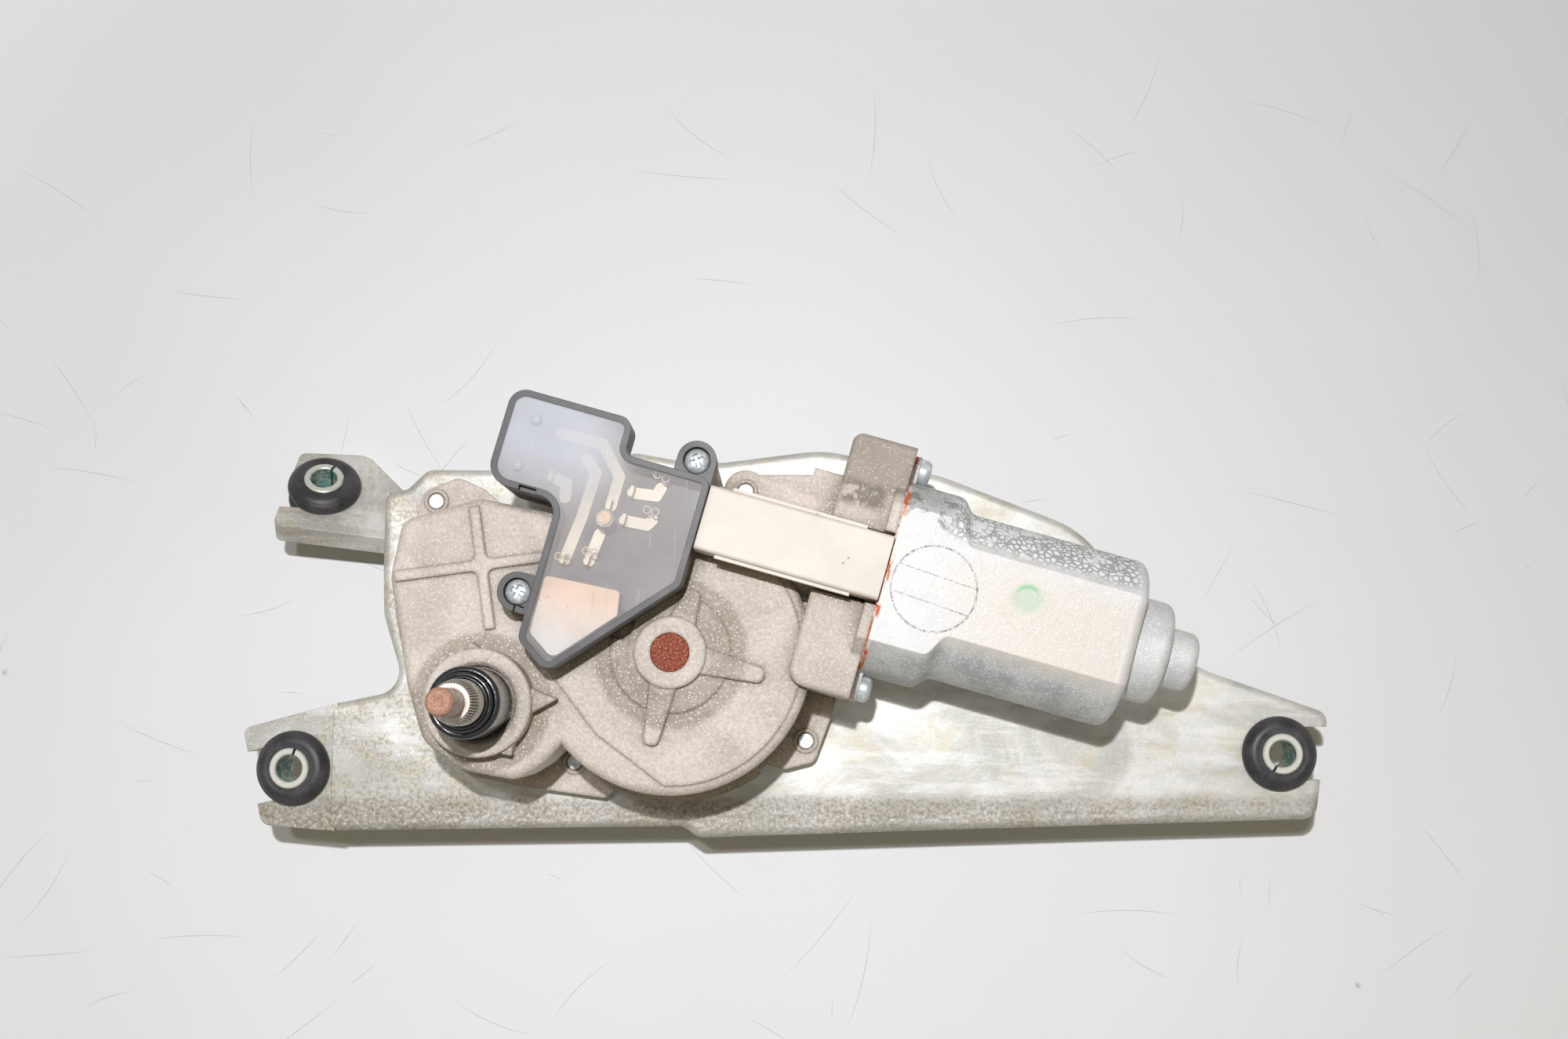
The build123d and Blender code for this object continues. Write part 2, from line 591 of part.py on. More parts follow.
def worm_wheel():
    """Moulded wheel; its teeth lean with the worm's thread and its hub is closed below the fixed pin."""
    lean = degrees(WHEEL_FACE * tan(lead_angle) / wheel_pitch_r)
    section = gear_face(WHEEL_TEETH, wheel_pitch_r, pi / 2, WORM_BACKLASH)
    low = Pos(0, 0, wheel_foot) * Rot(0, 0, -lean / 2) * section
    high = Pos(0, 0, wheel_top) * Rot(0, 0, lean / 2) * section
    wheel = Solid.make_loft([low.outer_wire(), high.outer_wire()], ruled=True)
    rim_r = wheel_pitch_r - 1.25 * MODULE - 2.6
    web = 3.2
    wheel = Pos(WHEEL_S, WHEEL_T) * wheel
    ring = disc(WHEEL_S, WHEEL_T, rim_r, wheel_foot + web, wheel_top)
    ring -= disc(WHEEL_S, WHEEL_T, WHEEL_BOSS_R + 0.3, wheel_foot, 60)
    wheel -= ring
    wheel += disc(WHEEL_S, WHEEL_T, CRANK_R + PIN_R + 1.6, hub_foot, wheel_foot + 1)
    for k in range(8):
        spoke = block(8, rim_r + 0.5, -0.9, 0.9, wheel_foot + 1, wheel_top - 1.2)
        wheel += Pos(WHEEL_S, WHEEL_T) * Rot(0, 0, 45 * k + 12) * spoke
    wheel -= disc(WHEEL_S, WHEEL_T, WHEEL_PIN_R + RUNNING, wheel_foot + 1.6, 60)
    return in_motor_frame(wheel)


def wheel_pin():
    pin = disc(WHEEL_S, WHEEL_T, WHEEL_PIN_R, wheel_foot + 2.0, WHEEL_BOSS_TOP)
    return in_motor_frame(chamfer(pin.edges().sort_by(Axis.Z)[-1], 0.3))


def worm_thread():
    """Rack-shaped ridge wound round the shaft, right-handed."""
    root_r = WORM_PITCH_R - 1.25 * MODULE
    tip_r = WORM_PITCH_R + MODULE
    slope = tan(radians(PRESSURE_ANGLE))
    at_pitch = worm_lead / 4
    wide = at_pitch + slope * (WORM_PITCH_R - root_r + 0.3)
    narrow = at_pitch - slope * (tip_r - WORM_PITCH_R)
    turns_length = WORM_LENGTH + 2 * worm_lead
    path = Helix(pitch=worm_lead, height=turns_length, radius=WORM_PITCH_R)
    profile = Polygon(
        (root_r - 0.3, -wide), (tip_r, -narrow), (tip_r, narrow), (root_r - 0.3, wide), align=None
    )
    return sweep(Plane.XZ * profile, path=path, is_frenet=True)


def armature_shaft():
    """Steel shaft with the rolled worm thread at its gear end."""
    root_r = WORM_PITCH_R - 1.25 * MODULE
    worm_start = WHEEL_S - WORM_LENGTH / 2
    worm_end = WHEEL_S + WORM_LENGTH / 2
    blank = along(root_r, worm_start - 2, worm_end + 2)
    turns = round((WORM_LENGTH / 2 + worm_lead) / worm_lead)
    first = WHEEL_S - turns * worm_lead
    place = Plane(origin=(first, worm_t, AXIS_Z), x_dir=(0, 1, 0), z_dir=(1, 0, 0))
    thread = place * worm_thread()
    zone = along(8, worm_start, worm_end)
    worm = (thread & zone) + blank
    shaft = worm + along(END_JOURNAL_R, END_BUSH_S[0] + 1.5, worm_start - 2)
    shaft += along(SHAFT_R, worm_end + 2, SHAFT_END)
    return in_motor_frame(shaft)


END_JOURNAL_R = 2.6
THRUST_LENGTH = 0.8
SHAFT_END = FLANGE_S + YOKE_LENGTH + YOKE_BOSS_LENGTH + YOKE_TIP_LENGTH - YOKE_SHEET - THRUST_LENGTH


def link_frame(shape, s, t, angle):
    return Pos(s, t) * Rot(0, 0, angle) * shape


wheel_angle = degrees(atan2(WHEEL_T, WHEEL_S))
# Parked: crank and sector link in one line, link outermost.
park_reach = SECTOR_LINK + CRANK_R
sides = (guide_length**2 + wheel_distance**2 - park_reach**2) / (2 * guide_length * wheel_distance)
guide_over_line = degrees(acos(sides))
guide_angle = wheel_angle + guide_over_line
PIVOT = (guide_length * cos(radians(guide_angle)), guide_length * sin(radians(guide_angle)))
link_angle = degrees(atan2(WHEEL_T - PIVOT[1], WHEEL_S - PIVOT[0]))
CRANK_PIN = (
    PIVOT[0] + SECTOR_LINK * cos(radians(link_angle)),
    PIVOT[1] + SECTOR_LINK * sin(radians(link_angle)),
)
SECTOR_CUT = 7  # teeth that the sector really has
SECTOR_BEHIND = 5  # of them, those on the side that the sweep uses


def spindle():
    """Wiper spindle: journal, knurled cone and thread."""
    profile = Polyline(
        (0, SPINDLE_FOOT), (SPINDLE_R - 0.4, SPINDLE_FOOT), (SPINDLE_R, SPINDLE_FOOT + 0.4),
        (SPINDLE_R, BUSH_TOP + 0.2), (SPINDLE_R - 0.6, BUSH_TOP + 0.2), (SPINDLE_R - 0.6, BUSH_TOP + 1.3),
        (SPINDLE_R, BUSH_TOP + 1.3), (SPINDLE_R, KNURL_FOOT), (KNURL_TOP_R, THREAD_FOOT - 0.8),
        (THREAD_R, THREAD_FOOT - 0.8), (THREAD_R, THREAD_FOOT + THREAD_LENGTH - 0.8),
        (THREAD_R - 0.8, THREAD_FOOT + THREAD_LENGTH), (0, THREAD_FOOT + THREAD_LENGTH), close=True,
    )
    return revolve(Plane.XZ * make_face(profile), Axis.Z)


def pinion():
    section = gear_face(PINION_TEETH, pinion_pitch_r, radians(guide_angle), GEAR_BACKLASH)
    wheel = prism(section, LINK_FOOT, PINION_TOP) - disc(0, 0, SPINDLE_R, 0, 60)
    return in_motor_frame(wheel)


def spindle_clip():
    ring = disc(0, 0, SPINDLE_R + 1.1, BUSH_TOP + 0.3, BUSH_TOP + 1.2) - disc(0, 0, SPINDLE_R - 0.6, 0, 60)
    return ring - block(0, 10, -1.6, 1.6, 50, 60)


def guide_link():
    """Flat lever that swings on the spindle's foot and carries the link pin."""
    eye, tip = SPINDLE_R + 3.4, PIN_R + 2.6
    lever = disc(0, 0, eye, GUIDE_FOOT, GUIDE_FOOT + GUIDE_SHEET)
    lever += disc(guide_length, 0, tip, GUIDE_FOOT, GUIDE_FOOT + GUIDE_SHEET)
    lever += block(0, guide_length, -tip, tip, GUIDE_FOOT, GUIDE_FOOT + GUIDE_SHEET)
    lever -= disc(0, 0, SPINDLE_R + RUNNING, 0, 60) + disc(guide_length, 0, PIN_R, 0, 60)
    return in_motor_frame(Rot(0, 0, guide_angle) * lever)


def link_pin():
    pin = disc(*PIVOT, PIN_R, GUIDE_FOOT, LINK_FOOT + LINK_SHEET + 0.3)
    pin += disc(*PIVOT, PIN_R + 1.2, LINK_FOOT + LINK_SHEET + 0.3, LINK_FOOT + LINK_SHEET + 1.3)
    return in_motor_frame(pin)


def sector_link():
    """Connecting rod from the crank, one end a toothed sector that rolls on the pinion."""
    top = LINK_FOOT + LINK_SHEET
    first_tooth = guide_angle + 180 - (SECTOR_BEHIND - 0.5) * 360 / SECTOR_TEETH
    sector = gear_face(SECTOR_TEETH, sector_pitch_r, radians(first_tooth), GEAR_BACKLASH, SECTOR_CUT)
    link = Pos(*PIVOT) * prism(sector, LINK_FOOT, top)
    eye = PIN_R + 3.0
    link += disc(*PIVOT, eye, LINK_FOOT, top) + disc(*CRANK_PIN, eye, LINK_FOOT, top)
    link += link_frame(block(0, SECTOR_LINK, -4.2, 4.2, LINK_FOOT, top), *PIVOT, link_angle)
    link -= disc(*PIVOT, PIN_R + RUNNING, 0, 60) + disc(*CRANK_PIN, PIN_R, 0, 60)
    return in_motor_frame(link)


def crank_pin():
    return in_motor_frame(disc(*CRANK_PIN, PIN_R, LINK_FOOT, hub_foot - SLIP))


def spindle_bush():
    return disc(0, 0, BUSH_R, BUSH_FOOT, BUSH_TOP) - disc(0, 0, SPINDLE_R + RUNNING, 0, 60)


def nose_seal():
    """Rubber cap over the bush: a rounded shoulder, then a collar that grips the spindle."""
    foot, room, shoulder = SPINDLE_BOSS_TOP - BOSS_RECESS, BUSH_TOP + 1.6, CAP_TOP - 1.5
    profile = Polyline(
        (BUSH_R, foot), (RUBBER_CAP_R, foot), (RUBBER_CAP_R, shoulder - 1.2),
        (RUBBER_CAP_R - 0.35, shoulder - 0.4), (RUBBER_CAP_R - 1.1, shoulder), (SPINDLE_R + 1.8, shoulder),
        (SPINDLE_R + 1.5, CAP_TOP - 0.3), (SPINDLE_R + 1.1, CAP_TOP), (SPINDLE_R + SLIP, CAP_TOP),
        (SPINDLE_R + SLIP, room), (BUSH_R, room), close=True,
    )
    return revolve(Plane.XZ * make_face(profile), Axis.Z)


def wheel_washer():
    ring = disc(WHEEL_S, WHEEL_T, 7.6, wheel_top + 0.1, wheel_top + WASHER)
    return in_motor_frame(ring - disc(WHEEL_S, WHEEL_T, WHEEL_PIN_R, 0, 60))


# ---------------------------------------------------------------- motor

YOKE_FLANGE = 1.6
YOKE_CORNER = 2.6
GASKET = 0.4
CORE_R = 13.2
MAGNET_IN = CORE_R + 0.8
WINDING = 5.0
CORE_S = (FLANGE_S + 22.8, FLANGE_S + YOKE_LENGTH - WINDING - 3.2)
MAGNET_S = (FLANGE_S + YOKE_WIDE_LENGTH + YOKE_SHOULDER + 1.8, FLANGE_S + YOKE_LENGTH - 5.2)
COMMUTATOR_R = 8.0
COMMUTATOR_S = (85.2, 97.0)
BRUSH_S = (86.8, 92.8)
BRUSH_HALF = 3.0
HOLDER_S = (82.4, 84.4)
BARS = 12
SLOT_HALF, SLOT_FOOT = 0.121, 0.47  # of the core's radius


def turned(edges):
    """Body of revolution about the motor shaft, from edges given as distance along it and radius."""
    start, end = edges[0] @ 0, edges[-1] @ 1
    closing = [Line((start.X, 0), start), Line(end, (end.X, 0)), Line((end.X, 0), (start.X, 0))]
    face = Pos(0, worm_t, AXIS_Z) * Face(Wire([*edges, *closing]))
    return revolve(face, Axis((0, worm_t, AXIS_Z), (1, 0, 0)))


def rounded_end(s0, s1, r, corner):
    """Straight run and rounded corner, down to the end face."""
    bend = corner * (1 - cos(pi / 4))
    arc = ThreePointArc((s1 - corner, r), (s1 - bend, r - bend), (s1, r - corner))
    return [Line((s0, r), (s1 - corner, r)), arc]


def yoke_solid(shrink):
    """Outer shape of the deep-drawn can, or its hollow when shrunk by the sheet."""
    flange_end, corner = FLANGE_S + GASKET, YOKE_CORNER - shrink
    wide, narrow, reach = YOKE_WIDE_R - shrink, YOKE_R - shrink, YOKE_FLAT - shrink
    shoulder = FLANGE_S + YOKE_WIDE_LENGTH
    end = FLANGE_S + YOKE_LENGTH - shrink
    slope = Spline((shoulder, wide), (shoulder + YOKE_SHOULDER, narrow), tangents=((1, 0), (1, 0)))
    can = turned([Line((flange_end, wide), (shoulder, wide)), slope,
                  *rounded_end(shoulder + YOKE_SHOULDER, end, narrow, corner)])
    side = outline([(flange_end - 5, -reach), (end, -reach), (end, reach), (flange_end - 5, reach)],
                   [0, corner, corner, 0])
    upright = Plane(origin=(0, worm_t - 40, AXIS_Z), x_dir=(1, 0, 0), z_dir=(0, -1, 0))
    can &= upright * Pos(0, 0, -80) * extrude(side, 80)
    boss_end = FLANGE_S + YOKE_LENGTH + YOKE_BOSS_LENGTH - shrink
    tip_end = boss_end + YOKE_TIP_LENGTH
    can += turned(rounded_end(end - 4, boss_end, YOKE_BOSS_R - shrink, YOKE_CORNER - shrink - 0.2))
    return can + turned(rounded_end(boss_end - 4, tip_end, YOKE_TIP_R - shrink, YOKE_CORNER - shrink - 0.4))


def yoke():
    can = yoke_solid(0)
    ear = block(FLANGE_S + GASKET, FLANGE_S + GASKET + YOKE_FLANGE, worm_t - MOTOR_SCREW_OFFSET,
                worm_t + MOTOR_SCREW_OFFSET, AXIS_Z - LUG_R, AXIS_Z + LUG_R)
    for side in (-1, 1):
        centre = worm_t + side * MOTOR_SCREW_OFFSET
        ear += along(LUG_R, FLANGE_S + GASKET, FLANGE_S + GASKET + YOKE_FLANGE, centre)
    can += ear
    can -= yoke_solid(YOKE_SHEET)
    can -= flat_ring(YOKE_SHEET, FLANGE_S, FLANGE_S + 5)
    for side in (-1, 1):
        can -= along(MOTOR_SCREW_R, FLANGE_S, FLANGE_S + 6, worm_t + side * MOTOR_SCREW_OFFSET)
    return in_motor_frame(can)


def flat_ring(shrink, s0, s1):
    """Slice with the outline of the can's mouth."""
    reach = YOKE_FLAT - shrink
    return along(YOKE_WIDE_R - shrink, s0, s1) & block(s0, s1, 0, 200, AXIS_Z - reach, AXIS_Z + reach)


def yoke_gasket():
    """Paper gasket between yoke and housing."""
    ring = flat_ring(0, FLANGE_S, FLANGE_S + GASKET)
    ring += block(FLANGE_S, FLANGE_S + GASKET, worm_t - MOTOR_SCREW_OFFSET, worm_t + MOTOR_SCREW_OFFSET,
                  AXIS_Z - LUG_R, AXIS_Z + LUG_R)
    for side in (-1, 1):
        ring += along(LUG_R, FLANGE_S, FLANGE_S + GASKET, worm_t + side * MOTOR_SCREW_OFFSET)
    for side in (-1, 1):
        ring -= along(MOTOR_SCREW_R, FLANGE_S, FLANGE_S + 1, worm_t + side * MOTOR_SCREW_OFFSET)
    return in_motor_frame(ring - flat_ring(YOKE_SHEET, FLANGE_S, FLANGE_S + 1))


def yoke_screws():
    """Two long screws with domed heads."""
    screws = []
    seat = FLANGE_S + GASKET + YOKE_FLANGE
    for side in (-1, 1):
        t = worm_t + side * MOTOR_SCREW_OFFSET
        head = along(MOTOR_SCREW_HEAD_R, seat, seat + MOTOR_SCREW_HEAD, t)
        head = fillet(head.faces().sort_by(Axis.X)[-1].edges(), MOTOR_SCREW_HEAD / 2)
        screws.append(head + along(MOTOR_SCREW_R, LUG_START + 3, seat, t))
    return in_motor_frame(Compound(children=screws))


def magnets():
    """Two ferrite arcs on the can's round sides."""
    tube = along(YOKE_R - YOKE_SHEET, *MAGNET_S) - along(MAGNET_IN, *MAGNET_S)
    half = YOKE_FLAT - YOKE_SHEET - 1.4
    arcs = []
    for side in (-1, 1):
        low, high = sorted((worm_t + side * MAGNET_IN * 0.64, worm_t + side * (YOKE_R + 5)))
        arcs += list((tube & block(*MAGNET_S, low, high, AXIS_Z - half, AXIS_Z + half)).solids())
    return in_motor_frame(Compound(children=arcs))


def brush_holder():
    """Moulded plate in the wide end of the can, with the two brush boxes."""
    plate = flat_ring(YOKE_SHEET + 0.1, *HOLDER_S) - along(COMMUTATOR_R + 1.5, *HOLDER_S)
    for side in (-1, 1):
        near, far = side * (COMMUTATOR_R + 2), side * (YOKE_WIDE_R - YOKE_SHEET - 1.2)
        low, high = worm_t + min(near, far), worm_t + max(near, far)
        box = block(HOLDER_S[1], BRUSH_S[1] + 1.2, low, high, AXIS_Z - BRUSH_HALF - 1.2, AXIS_Z + BRUSH_HALF + 1.2)
        low, high = sorted((worm_t + side * COMMUTATOR_R, worm_t + side * (YOKE_WIDE_R - YOKE_SHEET - 2.4)))
        box -= block(*BRUSH_S, low, high, AXIS_Z - BRUSH_HALF, AXIS_Z + BRUSH_HALF)
        plate += box
    return in_motor_frame(plate)


def brushes():
    blocks = []
    for side in (-1, 1):
        low, high = sorted((worm_t + side * (COMMUTATOR_R - 1), worm_t + side * (COMMUTATOR_R + 7)))
        brush = block(*BRUSH_S, low, high, AXIS_Z - BRUSH_HALF, AXIS_Z + BRUSH_HALF)
        blocks.append(brush - along(COMMUTATOR_R + 0.15, 80, 100))
    return in_motor_frame(Compound(children=blocks))


def brush_springs():
    """Bowed leaf behind each brush."""
    leaves = []
    back, wall = COMMUTATOR_R + 7, YOKE_WIDE_R - YOKE_SHEET - 2.4
    middle = (BRUSH_S[0] + BRUSH_S[1]) / 2
    for side in (-1, 1):
        foot = worm_t + side * (wall - 0.35)
        crest = (middle, worm_t + side * (back + 0.35))
        bow = ThreePointArc((BRUSH_S[0] + 0.6, foot), crest, (BRUSH_S[1] - 0.6, foot))
        leaf = trace(bow, 0.5).face()
        leaves.append(Pos(0, 0, AXIS_Z - 2) * extrude(oriented(leaf), 4))
    return in_motor_frame(Compound(children=[solid for leaf in leaves for solid in leaf.solids()]))


def commutator():
    drum = along(COMMUTATOR_R, *COMMUTATOR_S)
    for k in range(BARS):
        cut = block(COMMUTATOR_S[0] - 1, COMMUTATOR_S[1] - 1.5, -0.2, 0.2, COMMUTATOR_R - 0.8, COMMUTATOR_R + 1)
        drum -= Pos(0, worm_t, AXIS_Z) * Rot(360 * k / BARS, 0, 0) * cut
    return in_motor_frame(drum - along(SHAFT_R, *COMMUTATOR_S))


def armature_core():
    """Laminated core with open slots."""
    core = along(CORE_R, *CORE_S)
    half, foot = CORE_R * SLOT_HALF, CORE_R * SLOT_FOOT
    for k in range(BARS):
        mouth = block(*CORE_S, -half / 2, half / 2, CORE_R - 2.5, CORE_R + 1)
        well = block(*CORE_S, -half, half, foot, CORE_R - 1.6)
        core -= Pos(0, worm_t, AXIS_Z) * Rot(360 * (k + 0.5) / BARS, 0, 0) * (mouth + well)
    return in_motor_frame(core - along(SHAFT_R, *CORE_S))


def windings():
    """The coils' end bundles and the runs in the slots."""
    coils = along(CORE_R - 2.2, CORE_S[0] - WINDING, CORE_S[0])
    coils += along(CORE_R - 2.2, CORE_S[1], CORE_S[1] + WINDING)
    coils -= along(SHAFT_R, CORE_S[0] - WINDING, CORE_S[1] + WINDING)
    half, foot = CORE_R * SLOT_HALF - SLIP, CORE_R * SLOT_FOOT + SLIP
    for k in range(BARS):
        run = block(*CORE_S, -half, half, foot, CORE_R - 2.5)
        coils += Pos(0, worm_t, AXIS_Z) * Rot(360 * (k + 0.5) / BARS, 0, 0) * run
    return in_motor_frame(coils)


def end_bearing():
    """Sintered bush in the can's end boss."""
    boss_end = FLANGE_S + YOKE_LENGTH + YOKE_BOSS_LENGTH
    length = (FLANGE_S + YOKE_LENGTH + 0.5, boss_end - YOKE_SHEET - 0.9)
    bush = along(YOKE_BOSS_R - YOKE_SHEET, *length)
    return in_motor_frame(bush - along(SHAFT_R + RUNNING, *length))


def thrust_piece():
    end = SHAFT_END + THRUST_LENGTH
    return in_motor_frame(along(YOKE_TIP_R - YOKE_SHEET - 0.7, SHAFT_END + 0.1, end))


def shaft_bearing():
    bush = along(BEARING_R, BEARING_S, BEARING_S + BEARING_LENGTH)
    return in_motor_frame(bush - along(SHAFT_R + RUNNING, BEARING_S, BEARING_S + BEARING_LENGTH))


def worm_end_bush():
    bush = along(END_BUSH_R, *END_BUSH_S)
    bush -= along(END_JOURNAL_R + RUNNING, END_BUSH_S[0] + 1.4, END_BUSH_S[1])
    return in_motor_frame(bush)


# ---------------------------------------------------------------- switch case

CASE_RIM = CASE_FLOOR + 10.7
CASE_WALL = 1.5
CASE_FLOOR_SHEET = 1.4
CONNECTOR_FOOT = CASE_FLOOR - 13.3
CASE_OUTLINE = [
    ((-11.4, 70.4), 4), ((16.9, 70.4), 3), ((16.9, 62.2), 2), ((37.2, 62.2), 2.5), ((37.2, 37.3), 3),
    ((13.8, 10.8), 3), ((5.8, 16.2), 3), ((5.5, 48.2), 4), ((-11.4, 48.2), 5),
]
CONNECTOR_BODY = [((-11.4, 70.4), 4), ((7.4, 70.4), 3), ((7.4, 48.2), 2), ((-11.4, 48.2), 5)]
COVER_GLASS = 1.2
SNAP_SLOT = (-1.7, 48.2)  # notch in the rim for the cover's catch
LUG_CLIP = (2.6, 22.4)


def switch_case():
    """Black moulded tray with two screw lugs and the vehicle connector's socket under its far end."""
    case = prism(rounded(CASE_OUTLINE), CASE_FLOOR, CASE_RIM)
    case += prism(rounded(CONNECTOR_BODY), CONNECTOR_FOOT, CASE_FLOOR + 1)
    lug_top = CASE_RIM - CASE_LUG_DROP
    (far_s, far_t), (near_s, near_t) = CASE_LUGS
    case += disc(far_s, far_t, CASE_LUG_R, CASE_FLOOR, lug_top)
    case += block(far_s - CASE_LUG_R, far_s + CASE_LUG_R, far_t - 5, far_t, CASE_FLOOR, lug_top)
    case += disc(near_s, near_t, CASE_LUG_R, CASE_FLOOR, lug_top)
    case += block(near_s, near_s + 6, near_t - CASE_LUG_R, near_t + CASE_LUG_R, CASE_FLOOR, lug_top)
    case -= prism(rounded(CASE_OUTLINE, -CASE_WALL), CASE_FLOOR + CASE_FLOOR_SHEET, CASE_RIM)
    case -= prism(rounded(CONNECTOR_BODY, -CASE_WALL), CONNECTOR_FOOT, CASE_FLOOR - 0.6)
    (s0, t0), (s1, t1) = FINGER_WINDOW
    case -= block(s0, s1, t0, t1, 30, CASE_FLOOR + CASE_FLOOR_SHEET + 0.1)
    for s, t in CASE_LUGS:
        case -= disc(s, t, CASE_SCREW_R + 0.2, 0, 60) + disc(s, t, CASE_HEAD_R + 0.2, lug_top - CASE_HEAD, 60)
    side = CASE_OUTLINE[3][0][0]
    case -= block(side - 2, 40, BRIDGE_T[0] + 2, BRIDGE_T[1] - 2, CASE_FLOOR + 2.5, bridge_top - 1.5)
    s, t = LUG_CLIP
    case -= block(s, s + 2.2, t - 1.0, t + 1.0, lug_top - 1.6, 60)
    s, t = SNAP_SLOT
    case -= block(s - 2.0, s + 2.0, t - 0.5, t + 1.1, CASE_RIM - 2.2, 60)
    return in_motor_frame(case)


def switch_cover():
    """Clear plate let into the case's rim."""
    cover = prism(rounded(CASE_OUTLINE, -CASE_WALL), CASE_RIM - COVER_GLASS - 0.2, CASE_RIM - 0.2)
    return in_motor_frame(cover)


def switch_screws():
    screws = []
    seat = CASE_RIM - CASE_LUG_DROP - CASE_HEAD
    for s, t in CASE_LUGS:
        screw = disc(s, t, CASE_HEAD_R, seat, seat + 2.4)
        screw += disc(s, t, CASE_SCREW_R, CASE_FLOOR - CASE_SCREW_REACH, seat)
        screws.append(screw)
    return in_motor_frame(Compound(children=screws))


def terminal_bridge():
    """Ivory duct that carries the motor's leads from the brush holder to the switch case."""
    duct = block(*BRIDGE_S, *BRIDGE_T, CASE_FLOOR, bridge_top)
    duct = fillet(duct.edges().filter_by(Axis.X), 0.8)
    for t in BRIDGE_T:
        duct += block(BRIDGE_S[0] + 5, BRIDGE_S[1] - 6.4, t - 0.8, t + 0.8, bridge_top - 2.6, bridge_top - 1)
    duct -= block(*BRIDGE_S, BRIDGE_T[0] + 1.4, BRIDGE_T[1] - 1.4, CASE_FLOOR + 1.4, bridge_top - 1.4)
    return in_motor_frame(duct)


DISC_IN, DISC_OUT = 9.6, 20.4
FINGER_TRACKS = (12.0, 15.0, 18.0)
BAR_SHEET = 0.8
BAR_WIDTH = 2.6
EYELET = (16.4, 47.4)
INSULATOR_OUTLINE = [
    ((7.3, 31.5), 1), ((24.4, 32.6), 1), ((25.3, 27.2), 1), ((14.0, 14.2), 2), ((7.6, 18.4), 1.5),
]
BAR_ROUTES = {
    "park": [(9.6, 36.4), (10.6, 47.0), (10.8, 57.4), (8.0, 59.6)],
    "brake": [(1.6, 53.6), (5.0, 53.2), (5.6, 50.0)],
    "ground": [(15.0, 37.6), (15.6, 44.0)],
    "motor": [(16.2, 51.0), (16.2, 58.0), (10.4, 64.2), (0.7, 64.0)],
    "low_speed": [(20.2, 55.2), (25.6, 56.0), (26.1, 58.0)],
    "supply": [(20.2, 48.6), (25.4, 49.0), (26.2, 50.4)],
}


def strip(points):
    """Flat bar of even width along straight runs."""
    bars = [Pos(*p) * Circle(BAR_WIDTH / 2) for p in points]
    for (x0, y0), (x1, y1) in zip(points, points[1:]):
        angle = degrees(atan2(y1 - y0, x1 - x0))
        run = Rectangle(hypot(x1 - x0, y1 - y0), BAR_WIDTH)
        bars.append(Pos((x0 + x1) / 2, (y0 + y1) / 2) * Rot(0, 0, angle) * run)
    whole = bars[0]
    for bar in bars[1:]:
        whole += bar
    return whole.face()


def busbars():
    """Brass conductors on the case's floor, each with an upturned blade where it leaves."""
    floor = CASE_FLOOR + CASE_FLOOR_SHEET
    bars = []
    for route in BAR_ROUTES.values():
        s, t = route[0]
        bar = prism(strip(route), floor, floor + BAR_SHEET)
        bar += block(s - 0.4, s + 0.4, t - 1.2, t + 1.2, floor, floor + 4.5)
        bars.append(bar)
    return in_motor_frame(Compound(children=[solid for bar in bars for solid in bar.solids()]))


def contact_carrier():
    """Cream moulding that holds the bars' ends over the wheel's contact disc."""
    floor = CASE_FLOOR + CASE_FLOOR_SHEET
    return in_motor_frame(prism(rounded(INSULATOR_OUTLINE), floor, CASE_RIM - COVER_GLASS - 1.2))


def contact_disc():
    """Brass track on the wheel, with the gap that marks the parked position."""
    top = wheel_top - 1.2
    track = disc(WHEEL_S, WHEEL_T, DISC_OUT, top, top + 0.5) - disc(WHEEL_S, WHEEL_T, DISC_IN, top, top + 1)
    notch = Rot(0, 0, 170) * block(DISC_OUT - 3.2, DISC_OUT + 1, -4, 4, top, top + 1)
    return in_motor_frame(track - Pos(WHEEL_S, WHEEL_T) * notch)


def contact_fingers():
    """Three spring strips that hang from the carrier to the contact disc."""
    foot = wheel_top - 1.2 + 0.5 + SLIP
    fingers = []
    for r in FINGER_TRACKS:
        s = WHEEL_S - r
        finger = block(s - 0.9, s + 0.9, 26.6, 27.1, foot, CASE_FLOOR + CASE_FLOOR_SHEET)
        fingers.append(finger + block(s - 0.9, s + 0.9, 24.0, 27.1, foot, foot + 0.5))
    return in_motor_frame(Compound(children=fingers))


def connector_pins():
    """Blades of the vehicle connector, hanging in its socket."""
    pins = []
    for k in range(4):
        s = -7.8 + 4.0 * k
        pins.append(block(s - 0.4, s + 0.4, 58.0, 60.4, CONNECTOR_FOOT + 6, CASE_FLOOR - 0.6))
    return in_motor_frame(Compound(children=pins))


def cover_post():
    """Stake of the switch case that centres the clear cover."""
    post = disc(*EYELET, 1.5, CASE_FLOOR + CASE_FLOOR_SHEET, CASE_RIM - COVER_GLASS - 0.2)
    return in_motor_frame(post)


